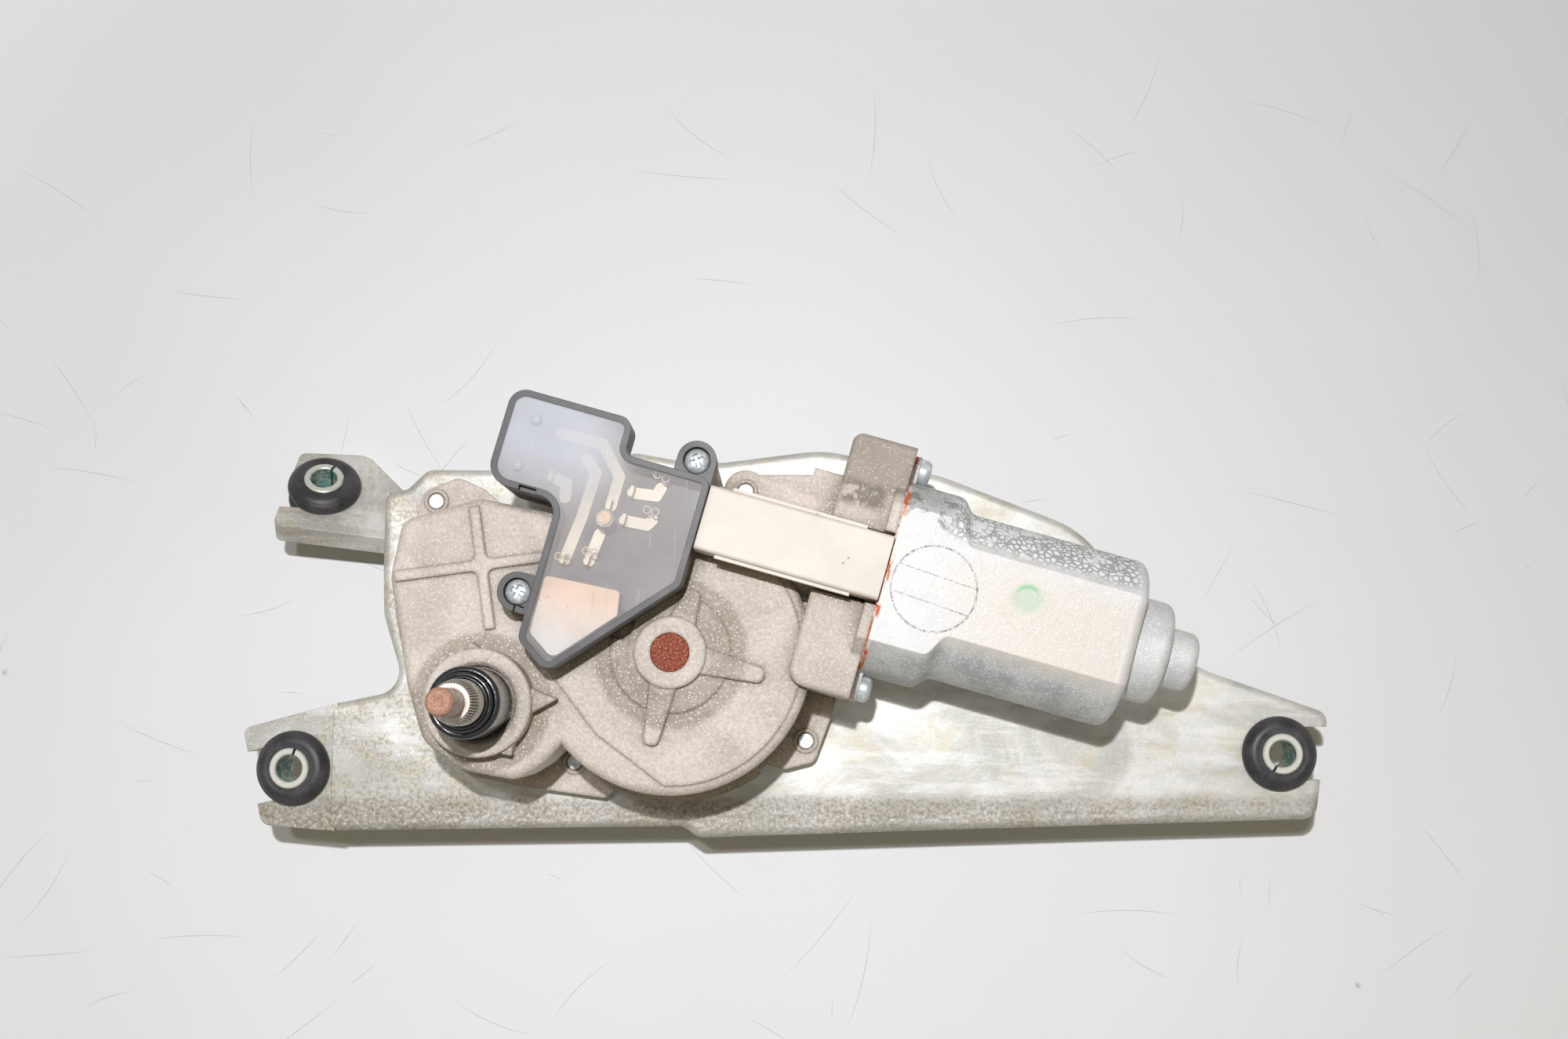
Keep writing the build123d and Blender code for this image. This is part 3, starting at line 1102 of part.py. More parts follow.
PARTS = {
    "mounting_bracket": mounting_bracket,
    "gear_housing": gear_housing,
    "housing_cover": housing_cover,
    "cover_screws": cover_screws,
    "spindle_bush": spindle_bush,
    "nose_seal": nose_seal,
    "wheel_pin": wheel_pin,
    "wheel_washer": wheel_washer,
    "worm_end_bush": worm_end_bush,
    "shaft_bearing": shaft_bearing,
    "yoke": yoke,
    "yoke_gasket": yoke_gasket,
    "yoke_screws": yoke_screws,
    "magnets": magnets,
    "brush_holder": brush_holder,
    "brushes": brushes,
    "brush_springs": brush_springs,
    "end_bearing": end_bearing,
    "thrust_piece": thrust_piece,
    "switch_case": switch_case,
    "switch_cover": switch_cover,
    "switch_screws": switch_screws,
    "terminal_bridge": terminal_bridge,
    "busbars": busbars,
    "contact_carrier": contact_carrier,
    "connector_pins": connector_pins,
    "contact_fingers": contact_fingers,
    "contact_disc": contact_disc,
    "cover_post": cover_post,
    "armature_shaft": armature_shaft,
    "armature_core": armature_core,
    "windings": windings,
    "commutator": commutator,
    "worm_wheel": worm_wheel,
    "spindle": spindle,
    "pinion": pinion,
    "spindle_clip": spindle_clip,
    "guide_link": guide_link,
    "link_pin": link_pin,
    "sector_link": sector_link,
    "crank_pin": crank_pin,
}

if __name__ == "__main__":
    os.makedirs("parts", exist_ok=True)
    rubber_mounts()
    for name, make in PARTS.items():
        save(name, make())
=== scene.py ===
"""Looks of the rear wiper motor: finishes for its pieces, and the small forms that only a close view needs.

Pieces and finishes are written in millimetres, and the table, lamps and camera in metres. The spindle stands
along +Z through the origin, and the origin is at the foot of its thread. The motor, gear housing and switch
case lie in the motor frame: s runs along the motor's shaft, away from the spindle, and t across it. Both
start at the spindle.
"""

import math
import random

import bmesh
import bpy
from mathutils import Matrix, Vector


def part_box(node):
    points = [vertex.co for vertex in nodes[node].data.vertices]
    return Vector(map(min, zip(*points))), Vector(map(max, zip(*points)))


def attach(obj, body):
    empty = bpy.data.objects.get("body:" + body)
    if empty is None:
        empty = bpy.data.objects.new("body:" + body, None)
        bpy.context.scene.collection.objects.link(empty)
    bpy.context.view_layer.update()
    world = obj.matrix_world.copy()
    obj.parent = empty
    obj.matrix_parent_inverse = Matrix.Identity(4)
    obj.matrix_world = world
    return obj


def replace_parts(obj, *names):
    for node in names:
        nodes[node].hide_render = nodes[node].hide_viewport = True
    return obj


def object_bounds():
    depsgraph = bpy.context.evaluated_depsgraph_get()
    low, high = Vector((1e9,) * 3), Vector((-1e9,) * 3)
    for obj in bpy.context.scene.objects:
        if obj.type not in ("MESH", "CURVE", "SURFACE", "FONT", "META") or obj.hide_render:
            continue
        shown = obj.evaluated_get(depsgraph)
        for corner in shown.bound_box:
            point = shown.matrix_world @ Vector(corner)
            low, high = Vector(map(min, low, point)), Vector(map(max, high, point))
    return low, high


MM = 0.001
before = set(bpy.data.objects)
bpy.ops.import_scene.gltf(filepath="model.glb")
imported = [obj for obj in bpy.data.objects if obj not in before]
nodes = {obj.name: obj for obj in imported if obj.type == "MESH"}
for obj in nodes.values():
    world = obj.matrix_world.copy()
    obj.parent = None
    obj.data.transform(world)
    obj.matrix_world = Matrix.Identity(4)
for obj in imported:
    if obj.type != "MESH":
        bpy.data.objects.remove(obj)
cad_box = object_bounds()

MOTOR_TURN = math.radians(-15.8)  # the motor frame's turn about the spindle


def foot_of(node):
    """Height of the node's lowest point."""
    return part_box(node)[0][2] / MM


def top_of(node):
    """Height of the node's highest point."""
    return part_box(node)[1][2] / MM


def from_motor(s, t):
    """Point of the motor frame, in the bracket's plane."""
    c, n = math.cos(MOTOR_TURN), math.sin(MOTOR_TURN)
    return s * c - t * n, s * n + t * c


# ---------------------------------------------------------------- shader helpers


class Field:
    """A socket's value over a surface. Arithmetic on it adds Math nodes."""

    def __init__(self, finish, socket):
        self.finish = finish
        self.socket = socket

    def maths(self, operation, *values, clamp=False):
        settings = {"operation": operation, "use_clamp": clamp}
        return self.finish.node("ShaderNodeMath", settings, dict(enumerate(values)))

    def __add__(self, other):
        return self.maths("ADD", self, other)

    __radd__ = __add__

    def __sub__(self, other):
        return self.maths("SUBTRACT", self, other)

    def __rsub__(self, other):
        return self.maths("SUBTRACT", other, self)

    def __mul__(self, other):
        return self.maths("MULTIPLY", self, other)

    __rmul__ = __mul__

    def __abs__(self):
        return self.maths("ABSOLUTE", self)

    def power(self, other):
        return self.maths("POWER", self, other)

    def clamped(self):
        return self.maths("ADD", self, 0.0, clamp=True)

    def above(self, edge, width):
        """0 below the edge and 1 above it, with a soft step of that width."""
        settings = {"clamp": True, "interpolation_type": "SMOOTHSTEP"}
        values = {"Value": self, "From Min": edge - width / 2, "From Max": edge + width / 2}
        return self.finish.node("ShaderNodeMapRange", settings, values)

    def below(self, edge, width):
        return 1 - self.above(edge, width)

    def between(self, low, high, width):
        return self.above(low, width) * self.below(high, width)


def length_of(east, north):
    """Length of the step that goes that far east and north."""
    return (east * east + north * north).power(0.5)


class Finish:
    """One material, built round a Principled shader that starts with an even colour and roughness."""

    def __init__(self, name, colour, roughness, metallic=0.0):
        self.material = bpy.data.materials.new(name)
        self.material.use_nodes = True
        self.tree = self.material.node_tree
        self.shader = self.tree.nodes["Principled BSDF"]
        self.set("Base Color", colour)
        self.set("Roughness", roughness)
        self.set("Metallic", metallic)
        self.here = None  # place()'s socket, once it is made

    def put(self, socket, value):
        if isinstance(value, Field):
            self.tree.links.new(value.socket, socket)
        elif isinstance(value, (tuple, list)) and socket.type == "RGBA":
            socket.default_value = (*value, 1.0) if len(value) == 3 else value
        else:
            socket.default_value = value

    def set(self, name, value):
        self.put(self.shader.inputs[name], value)

    def node(self, kind, settings=None, sockets=None, out=0):
        """Adds a node: its settings first, then the values or links of its sockets."""
        made = self.tree.nodes.new(kind)
        for key, value in (settings or {}).items():
            setattr(made, key, value)
        for key, value in (sockets or {}).items():
            self.put(made.inputs[key], value)
        return Field(self, made.outputs[out])

    def place(self):
        """Position from the object's origin, in millimetres."""
        if not self.here:
            here = self.node("ShaderNodeTexCoord", out="Object")
            self.here = self.node("ShaderNodeVectorMath", {"operation": "SCALE"}, {0: here, "Scale": 1 / MM})
        return self.here

    def axis(self, letter):
        return self.node("ShaderNodeSeparateXYZ", {}, {0: self.place()}, out=letter)

    def motor_axes(self):
        """Place in the motor frame, and the height."""
        x, y, z = (self.axis(letter) for letter in "XYZ")
        c, s = math.cos(MOTOR_TURN), math.sin(MOTOR_TURN)
        return x * c + y * s, y * c - x * s, z

    def radius(self, x, y):
        """Distance from an upright line through that point."""
        return length_of(self.axis("X") - x, self.axis("Y") - y)

    def noise(self, size, detail=3.0, rough=0.55, warp=0.0, stretch=None):
        """Cloudy value around 0.5 whose blotches are about that many millimetres across."""
        at = self.place()
        if stretch:
            at = self.node("ShaderNodeVectorMath", {"operation": "MULTIPLY"}, {0: at, 1: stretch})
        values = {"Vector": at, "Scale": 1 / size, "Detail": detail, "Roughness": rough, "Distortion": warp}
        return self.node("ShaderNodeTexNoise", {}, values)

    def cells(self, size, feature="F1"):
        """Distance to the nearest of many scattered points, or to the edge between two cells."""
        values = {"Vector": self.place(), "Scale": 1 / size}
        return self.node("ShaderNodeTexVoronoi", {"feature": feature}, values, out="Distance")

    def blend(self, amount, low, high):
        """Colour that goes from low to high with the amount."""
        settings = {"data_type": "RGBA", "clamp_factor": True}
        return self.node("ShaderNodeMix", settings, {0: amount, 6: low, 7: high}, out=2)

    def corner(self, reach):
        """1 in the open and less in corners, within that many millimetres."""
        return self.node("ShaderNodeAmbientOcclusion", {"samples": 5}, {"Distance": reach * MM}, out="AO")

    def soft_edges(self, radius):
        """Normal that rounds the edges by that many millimetres."""
        return self.node("ShaderNodeBevel", {"samples": 4}, {"Radius": radius * MM})

    def edge_wear_and_highlight(self, rounded):
        """1 along the edges that the rounded normal bends."""
        return self.toward(rounded).below(0.93, 0.1)

    def toward(self, direction):
        """1 where the unrounded surface faces that direction, and 0 where it stands square to it."""
        true = self.node("ShaderNodeNewGeometry", out="True Normal")
        settings = {"operation": "DOT_PRODUCT"}
        return self.node("ShaderNodeVectorMath", settings, {0: direction, 1: true}, out="Value")

    def bump(self, height, depth, under=None):
        """Normal of a surface whose height field is worth that many millimetres."""
        values = {"Height": height, "Distance": depth * MM, "Strength": 1.0}
        if under:
            values["Normal"] = under
        return self.node("ShaderNodeBump", {}, values)


def paint(finish, *names):
    """Gives the named nodes that finish and no other."""
    for name in names:
        nodes[name].data.materials.clear()
        nodes[name].data.materials.append(finish.material)


def srgb(red, green, blue):
    """Screen colour, 0 to 255, as the linear colour that shaders use."""
    shares = (red / 255, green / 255, blue / 255)
    return tuple(c / 12.92 if c <= 0.04 else ((c + 0.055) / 1.055) ** 2.4 for c in shares)


# ---------------------------------------------------------------- finishes


WHEEL_HUB = (38.3, 22.7)  # in the motor frame
HUB_SHADE_RING = (9.0, 17.5)  # radii of the dark ring of painted shade round the hub
NOSE_SHADE_RING = (12.6, 16.0)  # and of the one round the spindle's boss


def die_cast():
    """Aged aluminium casting: sandy beige skin with bright grains, grime and painted shade in its corners,
    painted shade round its two bosses, and a stain with a dark crust at its far corner by the can."""
    f = Finish("die_cast", srgb(194, 184, 170), 0.6, 0.1)
    s, t, z = f.motor_axes()
    cloud = f.noise(16, detail=4, warp=0.5)
    sand = f.noise(0.8, detail=4, rough=0.7)
    grit = f.noise(3.0, detail=5, rough=0.75)
    grains = f.cells(0.7)
    skin = f.blend(cloud.above(0.5, 0.4), srgb(196, 185, 174), srgb(222, 211, 201))
    skin = f.blend(sand.above(0.58, 0.16) * 0.5, skin, srgb(244, 237, 229))
    skin = f.blend(sand.below(0.42, 0.16) * 0.45, skin, srgb(174, 162, 149))
    hub = length_of(s - WHEEL_HUB[0], t - WHEEL_HUB[1])
    nose = f.radius(0.0, 0.0)
    # dark rings of painted shade round the two bosses, mottled with the grit
    rings = (hub.between(*HUB_SHADE_RING, 2.0) + nose.between(*NOSE_SHADE_RING, 1.2) * 0.8).clamped()
    # grime and painted shade where the casting is occluded, plus the shade rings
    grime_and_shade = (f.corner(5.0).below(0.74, 0.4) + rings * (0.4 + grit * 0.7)).clamped()
    bright = grains.below(0.24, 0.12) * (grit.above(0.48, 0.2) * 0.6 + grime_and_shade * 0.8)
    skin = f.blend((grime_and_shade * (0.3 + grit)).clamped() * 0.7, skin, srgb(130, 118, 100))
    stain = t.above(71.0, 2.0) * s.above(64.0, 2.0) * z.above(-42.0, 3.0)
    skin = f.blend(stain * 0.6, skin, srgb(128, 116, 105))
    crust = t.between(66.5, 72.0, 2.5) * s.between(66.0, 76.0, 2.0) * z.above(-42.0, 3.0)
    skin = f.blend(crust * grit.below(0.52, 0.1) * 0.75, skin, srgb(104, 95, 84))
    skin = f.blend(bright.clamped() * 0.9, skin, srgb(248, 246, 240))
    edges = f.soft_edges(1.1)
    f.set("Base Color", skin)
    f.set("Roughness", 0.55 + sand * 0.2 + grime_and_shade * 0.15)
    f.set("Normal", f.bump(sand + grit * (0.4 + crust * 3.0), 0.14, edges))
    return f


FRONT_STRIP = -23.0  # Y of the stained strip's inner edge
LEFT_ARMS = -5.0  # X about which the grime of the left arms fades out


def zinc_plate():
    """Zinc on stamped steel: pale and dull, streaked along the bracket's length, with grey-brown grime and
    pale flecks along its front strip and toward its left arms."""
    f = Finish("zinc_plate", srgb(186, 184, 172), 0.42, 0.4)
    x, y = f.axis("X"), f.axis("Y")
    streak = f.noise(26, detail=5, rough=0.6, warp=1.0)
    fine = f.noise(0.9, detail=5, rough=0.75)
    patch = f.noise(8, detail=5, rough=0.65, warp=0.4)
    coat = f.blend(streak.above(0.5, 0.3), srgb(180, 179, 171), srgb(218, 217, 211))
    coat = f.blend(patch.above(0.55, 0.14) * 0.5, coat, srgb(200, 188, 162))
    coat = f.blend(fine.above(0.6, 0.14) * 0.45, coat, srgb(232, 230, 220))
    drawn = f.noise(9, detail=5, rough=0.7, stretch=(0.16, 1.0, 1.0))
    coat = f.blend(drawn.above(0.56, 0.1) * 0.35, coat, srgb(240, 239, 234))
    coat = f.blend(drawn.below(0.42, 0.08) * 0.25, coat, srgb(158, 154, 142))
    front = y.below(FRONT_STRIP, 4.0)
    left = x.below(LEFT_ARMS, 60.0) * 0.6
    spots = f.noise(1.0, detail=6, rough=0.8)
    coat = f.blend(front * (0.2 + patch * 0.5), coat, srgb(160, 150, 134))
    grime = spots.above(0.53, 0.12) * (front * (0.2 + patch) + left * patch.above(0.5, 0.2))
    coat = f.blend(grime.clamped() * 0.5, coat, srgb(112, 98, 82))
    flecks = spots.below(0.4, 0.08) * (y.below(FRONT_STRIP - 2.5, 3.0) + left * patch.below(0.5, 0.2))
    coat = f.blend(flecks * 0.75, coat, srgb(240, 238, 230))
    f.set("Base Color", coat)
    f.set("Roughness", 0.42 + fine * 0.16 + grime * 0.3)
    f.set("Metallic", (0.34 - grime * 0.3 - front * 0.15).clamped())
    f.set("Normal", f.bump(fine + spots * (front + left), 0.06, f.soft_edges(0.4)))
    return f


CAN_FLAT = top_of("yoke")  # height of the can's flat
CAN_FLAT_END = 137.0  # s where the flat turns down to the closed end
FLANGE_RUST_END = 81.4  # s where the rust on the flange stops
SHOULDER_BLOOM = 62.5  # t about which the white bloom of the far shoulder, with its painted highlight, starts
STAMP = (102.6, 25.4)  # centre of the ink ring
STAMP_R = 9.7
CHORDS = (3.0, -3.3)  # distances of the ring's two chords from its centre
CHORD_SQUARE = (0.329, 0.944)  # direction square to them
DOT = (123.6, 23.3)  # centre of the green dot


def yoke_steel():
    """Zinc-coated can: sides painted darker than the flat as shade, white bloom cracked along the far
    shoulder and brightened there as a painted highlight, rust on the flange, and on the flat a beige film, an
    ink ring and a green dot."""
    f = Finish("yoke_steel", srgb(198, 202, 202), 0.5, 0.2)
    s, t, z = f.motor_axes()
    cloud = f.noise(9, detail=6, rough=0.7, warp=0.3)
    fine = f.noise(0.6, detail=4, rough=0.75)
    specks = f.cells(0.65)
    # the sides are painted darker and bluer than the flat: painted shade
    shaded_side = f.blend(cloud.above(0.5, 0.3), srgb(178, 180, 180), srgb(212, 214, 213))
    shaded_side = f.blend(specks.below(0.3, 0.14) * cloud.above(0.4, 0.2) * 0.85, shaded_side, srgb(246, 248, 248))
    top = f.blend(cloud.above(0.5, 0.3), srgb(208, 208, 206), srgb(230, 230, 229))
    film = (s + cloud * 30.0).above(113.0, 24.0) * (t + cloud * 8.0).below(66.0, 8.0)
    top = f.blend(film * (0.3 + cloud * 0.7), top, srgb(220, 211, 197))
    top = f.blend(fine.above(0.6, 0.12) * 0.45, top, srgb(244, 243, 240))
    top = f.blend(fine.below(0.4, 0.1) * cloud.above(0.48, 0.16) * 0.3, top, srgb(186, 176, 166))
    top = f.blend(specks.below(0.2, 0.1) * cloud.above(0.46, 0.2) * 0.7, top, srgb(252, 252, 250))
    flat = z.above(CAN_FLAT - 0.7, 0.8)
    coat = f.blend((z + cloud * 2.0).above(CAN_FLAT - 0.6, 3.0), shaded_side, top)
    plates = f.cells(1.5, "DISTANCE_TO_EDGE")
    # real white bloom on the far shoulder, painted whiter still as a highlight where the light falls
    shoulder = t.above(SHOULDER_BLOOM + cloud * 5.0, 2.5) * s.between(92.0, CAN_FLAT_END, 6.0)
    coat = f.blend(shoulder * 0.9, coat, srgb(252, 254, 255))
    crack = plates.below(0.13, 0.12) * shoulder * cloud.above(0.44, 0.12)
    coat = f.blend(crack * 0.75, coat, srgb(140, 141, 142))
    flaking = cloud.above(0.5, 0.08) * t.above(65.0, 4.0) * s.below(93.0, 4.0)
    coat = f.blend(flaking * fine.above(0.42, 0.15) * 0.8, coat, srgb(116, 115, 110))
    coat = f.blend(s.above(CAN_FLAT_END - 0.5, 2.0) * 0.4, coat, srgb(240, 240, 237))
    flange = s.below(FLANGE_RUST_END, 0.3)
    coat = f.blend(flange, coat, f.blend(cloud.above(0.5, 0.08), srgb(232, 226, 220), srgb(204, 104, 60)))
    stamp = f.radius(*STAMP)
    rise = (f.axis("X") - STAMP[0]) * CHORD_SQUARE[0] + (f.axis("Y") - STAMP[1]) * CHORD_SQUARE[1]
    upper, lower = (abs(rise - chord).below(0.15, 0.1) for chord in CHORDS)
    lines = abs(stamp - STAMP_R).below(0.24, 0.2) + (upper + lower) * stamp.below(STAMP_R, 0.2)
    ink = lines.clamped() * flat * fine.above(0.5, 0.2)
    coat = f.blend(ink * (0.5 + cloud * 0.5) * cloud.above(0.36, 0.1), coat, srgb(86, 84, 90))
    dot = f.radius(*DOT)
    arc = abs(dot - 2.6).below(0.5, 0.5) * f.axis("Y").above(24.8, 1.0) * fine.above(0.42, 0.2)
    coat = f.blend((dot.below(3.3, 2.0) * fine * 0.5 + arc * 0.4) * flat, coat, srgb(84, 190, 130))
    f.set("Base Color", coat)
    f.set("Roughness", 0.45 + cloud * 0.25 + shoulder * 0.1)
    f.set("Metallic", (0.3 - cloud * 0.2 - shoulder * 0.2).clamped())
    relief = fine + specks * 0.4 - crack * 2.0 - flaking
    f.set("Normal", f.bump(relief, 0.06, f.soft_edges(0.4)))
    return f


def metal(name, colour, roughness, metallic=1.0, spot=None):
    """Plain metal with faint clouds and, if asked, spots of another colour."""
    f = Finish(name, colour, roughness, metallic)
    cloud = f.noise(3, detail=3)
    skin = f.blend(cloud * 0.6, colour, tuple(c * 0.88 for c in colour))
    if spot:
        skin = f.blend(f.noise(1.2, detail=5, rough=0.7).above(0.56, 0.1), skin, spot)
    f.set("Base Color", skin)
    f.set("Roughness", roughness - 0.05 + cloud * 0.1)
    f.set("Normal", f.bump(f.noise(0.5, detail=2), 0.01))
    return f


def rusty_steel():
    """Rust with dark pits and pale specks."""
    f = Finish("rusty_steel", srgb(104, 52, 40), 0.85)
    crust = f.noise(0.5, detail=4, rough=0.8)
    pits = f.cells(0.45)
    skin = f.blend(crust.above(0.5, 0.16), srgb(104, 52, 40), srgb(184, 96, 68))
    skin = f.blend(pits.below(0.3, 0.2) * crust.above(0.48, 0.1) * 0.7, skin, srgb(220, 172, 150))
    f.set("Base Color", skin)
    f.set("Normal", f.bump(crust + pits, 0.12))
    return f


def gasket_paper():
    """Paper joint whose edge is stained orange over a pale deposit."""
    f = Finish("gasket_paper", srgb(206, 120, 80), 0.85)
    run = f.noise(3.2, detail=5, rough=0.7)
    fine = f.noise(0.6, detail=4, rough=0.7)
    skin = f.blend(run.above(0.5, 0.1), srgb(236, 228, 220), srgb(208, 106, 60))
    skin = f.blend(fine.above(0.55, 0.1) * 0.5, skin, srgb(150, 62, 34))
    f.set("Base Color", skin)
    f.set("Normal", f.bump(fine, 0.1))
    return f


def moulding(name, colour, roughness, dust):
    """Moulded plastic: faint clouds, dust of another colour in its corners, edges painted lighter as rubbed
    wear and as a highlight.
    """
    f = Finish(name, colour, roughness)
    cloud = f.noise(9, detail=4, warp=0.3)
    grain = f.noise(0.35, detail=2)
    skin = f.blend(cloud.above(0.5, 0.5) * 0.6, colour, tuple(c * 0.82 for c in colour))
    skin = f.blend(f.corner(3.0).below(0.6, 0.5) * 0.4, skin, dust)
    edges = f.soft_edges(0.25)
    # edges painted lighter: rubbed wear and a painted highlight
    skin = f.blend(f.edge_wear_and_highlight(edges) * 0.15, skin, tuple(min(1, c * 1.6 + 0.03) for c in colour))
    f.set("Base Color", skin)
    f.set("Roughness", roughness - 0.05 + cloud * 0.12)
    f.set("Normal", f.bump(grain, 0.02, edges))
    return f


def ivory_plastic():
    """Ivory moulding, greyed by handling, with small brown specks and painted olive shade in its corners."""
    f = Finish("ivory_plastic", srgb(216, 211, 194), 0.48)
    cloud = f.noise(12, detail=4, warp=0.4)
    specks = f.cells(5.0)
    skin = f.blend(cloud.above(0.5, 0.4), srgb(220, 211, 200), srgb(236, 228, 217))
    skin = f.blend(specks.below(0.05, 0.02) * 0.8, skin, srgb(120, 92, 62))
    # painted olive shade in the corners, from the occlusion
    skin = f.blend(f.corner(2.5).below(0.6, 0.4) * 0.45, skin, srgb(150, 138, 98))
    f.set("Base Color", skin)
    f.set("Roughness", 0.42 + cloud * 0.14)
    f.set("Normal", f.bump(f.noise(0.6), 0.01, f.soft_edges(0.3)))
    return f


def cream_plastic():
    """Cream moulding, stained orange toward its far end."""
    f = Finish("cream_plastic", srgb(244, 234, 214), 0.4)
    t = f.motor_axes()[1]
    cloud = f.noise(5, detail=4, warp=0.6)
    glow = (t - 17.0) * 0.08 + cloud * 0.6 - 0.35
    skin = f.blend(glow.clamped() * 0.8, srgb(255, 253, 248), srgb(255, 206, 158))
    skin = f.blend(f.cells(4.0).below(0.1, 0.06) * 0.7, skin, srgb(240, 140, 90))
    f.set("Base Color", skin)
    f.set("Roughness", 0.36 + cloud * 0.1)
    return f


def clear_plastic():
    """Clear plate gone milky, with a painted sheen, most of all toward the connector's end, with fine
    scratches.
    """
    f = Finish("clear_plastic", srgb(190, 190, 194), 0.3)
    f.set("Specular IOR Level", 0.12)
    f.set("Coat Roughness", 0.1)
    f.set("Coat Weight", 0.01)
    s, t = f.motor_axes()[:2]
    # pale opacity for a milky plate and for a painted sheen of reflected light
    haze_and_sheen = f.noise(10, detail=3, warp=0.5)
    milk_and_sheen = t.above(50.0, 20.0) * s.below(14.0, 20.0)
    scratch = f.noise(0.9, detail=2, stretch=(1.0, 0.06, 1.0)).above(0.7, 0.05)
    f.set("Base Color", f.blend(milk_and_sheen, srgb(220, 214, 212), srgb(224, 228, 236)))
    f.set("Alpha", (0.12 + haze_and_sheen * 0.2 + milk_and_sheen * 0.36 + scratch * 0.15).clamped())
    f.set("Roughness", 0.27 + haze_and_sheen * 0.08)
    return f


def black_rubber():
    """Black rubber under a thin grey film."""
    f = Finish("black_rubber", srgb(40, 38, 40), 0.4)
    bloom = f.noise(5, detail=5, rough=0.65)
    f.set("Base Color", f.blend(bloom.above(0.5, 0.35), srgb(34, 32, 34), srgb(66, 62, 65)))
    f.set("Roughness", 0.34 + bloom * 0.25)
    f.set("Normal", f.bump(f.noise(0.6), 0.03))
    return f


def cap_rubber():
    """Glossy moulded rubber of the spindle's cap."""
    f = Finish("cap_rubber", srgb(12, 11, 13), 0.1)
    f.set("Specular IOR Level", 0.35)
    f.set("Coat Weight", 0.6)
    f.set("Coat Roughness", 0.09)
    smear = f.noise(4, detail=4)
    f.set("Roughness", 0.12 + smear * 0.2)
    f.set("Normal", f.bump(f.noise(1.8, detail=3), 0.08))
    return f


RUSTED_END = 10.9  # height where the rust at the spindle's tip starts


def spindle_steel():
    """Grey steel with brown in its grooves and a rusted, copper-brown end."""
    f = Finish("spindle_steel", srgb(206, 202, 190), 0.36, 0.4)
    z = f.axis("Z")
    fine = f.noise(0.5, detail=4, rough=0.7)
    cloud = f.noise(2.2, detail=4)
    steel = f.blend(cloud.above(0.5, 0.3), srgb(232, 231, 228), srgb(206, 201, 190))
    steel = f.blend(f.corner(0.7).below(0.7, 0.4) * 0.75, steel, srgb(122, 110, 90))
    thread = z.above(-0.6, 0.6)
    steel = f.blend(thread * (0.3 + cloud * 0.6), steel, srgb(150, 118, 96))
    tip = f.blend(fine.above(0.5, 0.3), srgb(196, 152, 130), srgb(158, 114, 94))
    end = z.above(RUSTED_END - cloud * 1.5, 0.8)
    f.set("Base Color", f.blend(end, steel, tip))
    f.set("Roughness", 0.36 + fine * 0.15 + end * 0.2)
    f.set("Metallic", 0.45 - end * 0.4)
    f.set("Normal", f.bump(fine, 0.02))
    return f


def sleeve_steel():
    """Plated sleeve with blue-green corrosion on the walls of its bore."""
    f = Finish("sleeve_steel", srgb(206, 208, 196), 0.3, 0.6)
    blotch = f.noise(1.8, detail=5, rough=0.7)
    upward = f.toward((0.0, 0.0, 1.0))
    skin = f.blend(blotch * 0.6, srgb(220, 219, 210), srgb(186, 184, 164))
    skin = f.blend(upward.below(0.62, 0.1) * blotch.above(0.48, 0.12) * 0.8, skin, srgb(70, 150, 146))
    f.set("Base Color", skin)
    f.set("Roughness", 0.3 + blotch * 0.2)
    f.set("Normal", f.bump(blotch, 0.04))
    return f


casting = die_cast()
paint(casting, "gear_housing")
paint(zinc_plate(), "mounting_bracket", "housing_cover")
paint(yoke_steel(), "yoke")
paint(gasket_paper(), "yoke_gasket")
paint(rusty_steel(), "wheel_pin")
silver = metal("screw_steel", srgb(198, 203, 204), 0.42, metallic=0.4, spot=srgb(236, 240, 240))
paint(silver, "cover_screws", "yoke_screws", "wheel_washer", "brush_springs")
paint(sleeve_steel(), "sleeve_upper_left", "sleeve_lower_left", "sleeve_right")
ground = metal("ground_steel", srgb(176, 176, 176), 0.25)
paint(ground, "armature_shaft", "pinion", "spindle_clip")
paint(ground, "guide_link", "link_pin", "sector_link", "crank_pin")
paint(metal("core_steel", srgb(90, 90, 94), 0.5), "armature_core")
bronze = metal("bronze", srgb(166, 128, 84), 0.5)
paint(bronze, "spindle_bush", "worm_end_bush", "shaft_bearing", "end_bearing")
brass = metal("brass", srgb(255, 244, 220), 0.5, metallic=0.15)
paint(brass, "busbars", "connector_pins", "contact_fingers", "contact_disc")
paint(metal("copper_wire", srgb(198, 120, 84), 0.4), "windings", "commutator")
paint(moulding("ferrite", srgb(52, 52, 55), 0.6, srgb(70, 66, 60)), "magnets", "brushes")
paint(moulding("black_plastic", srgb(56, 53, 53), 0.45, srgb(92, 86, 72)), "switch_case")
paint(ivory_plastic(), "terminal_bridge", "brush_holder", "thrust_piece")
paint(cream_plastic(), "contact_carrier", "cover_post")
paint(moulding("gear_plastic", srgb(226, 222, 206), 0.4, srgb(170, 140, 90)), "worm_wheel")
rubber = black_rubber()
paint(rubber, "grommet_upper_left", "grommet_lower_left", "grommet_right")
glass = clear_plastic()
paint(glass, "switch_cover")


# ---------------------------------------------------------------- small forms


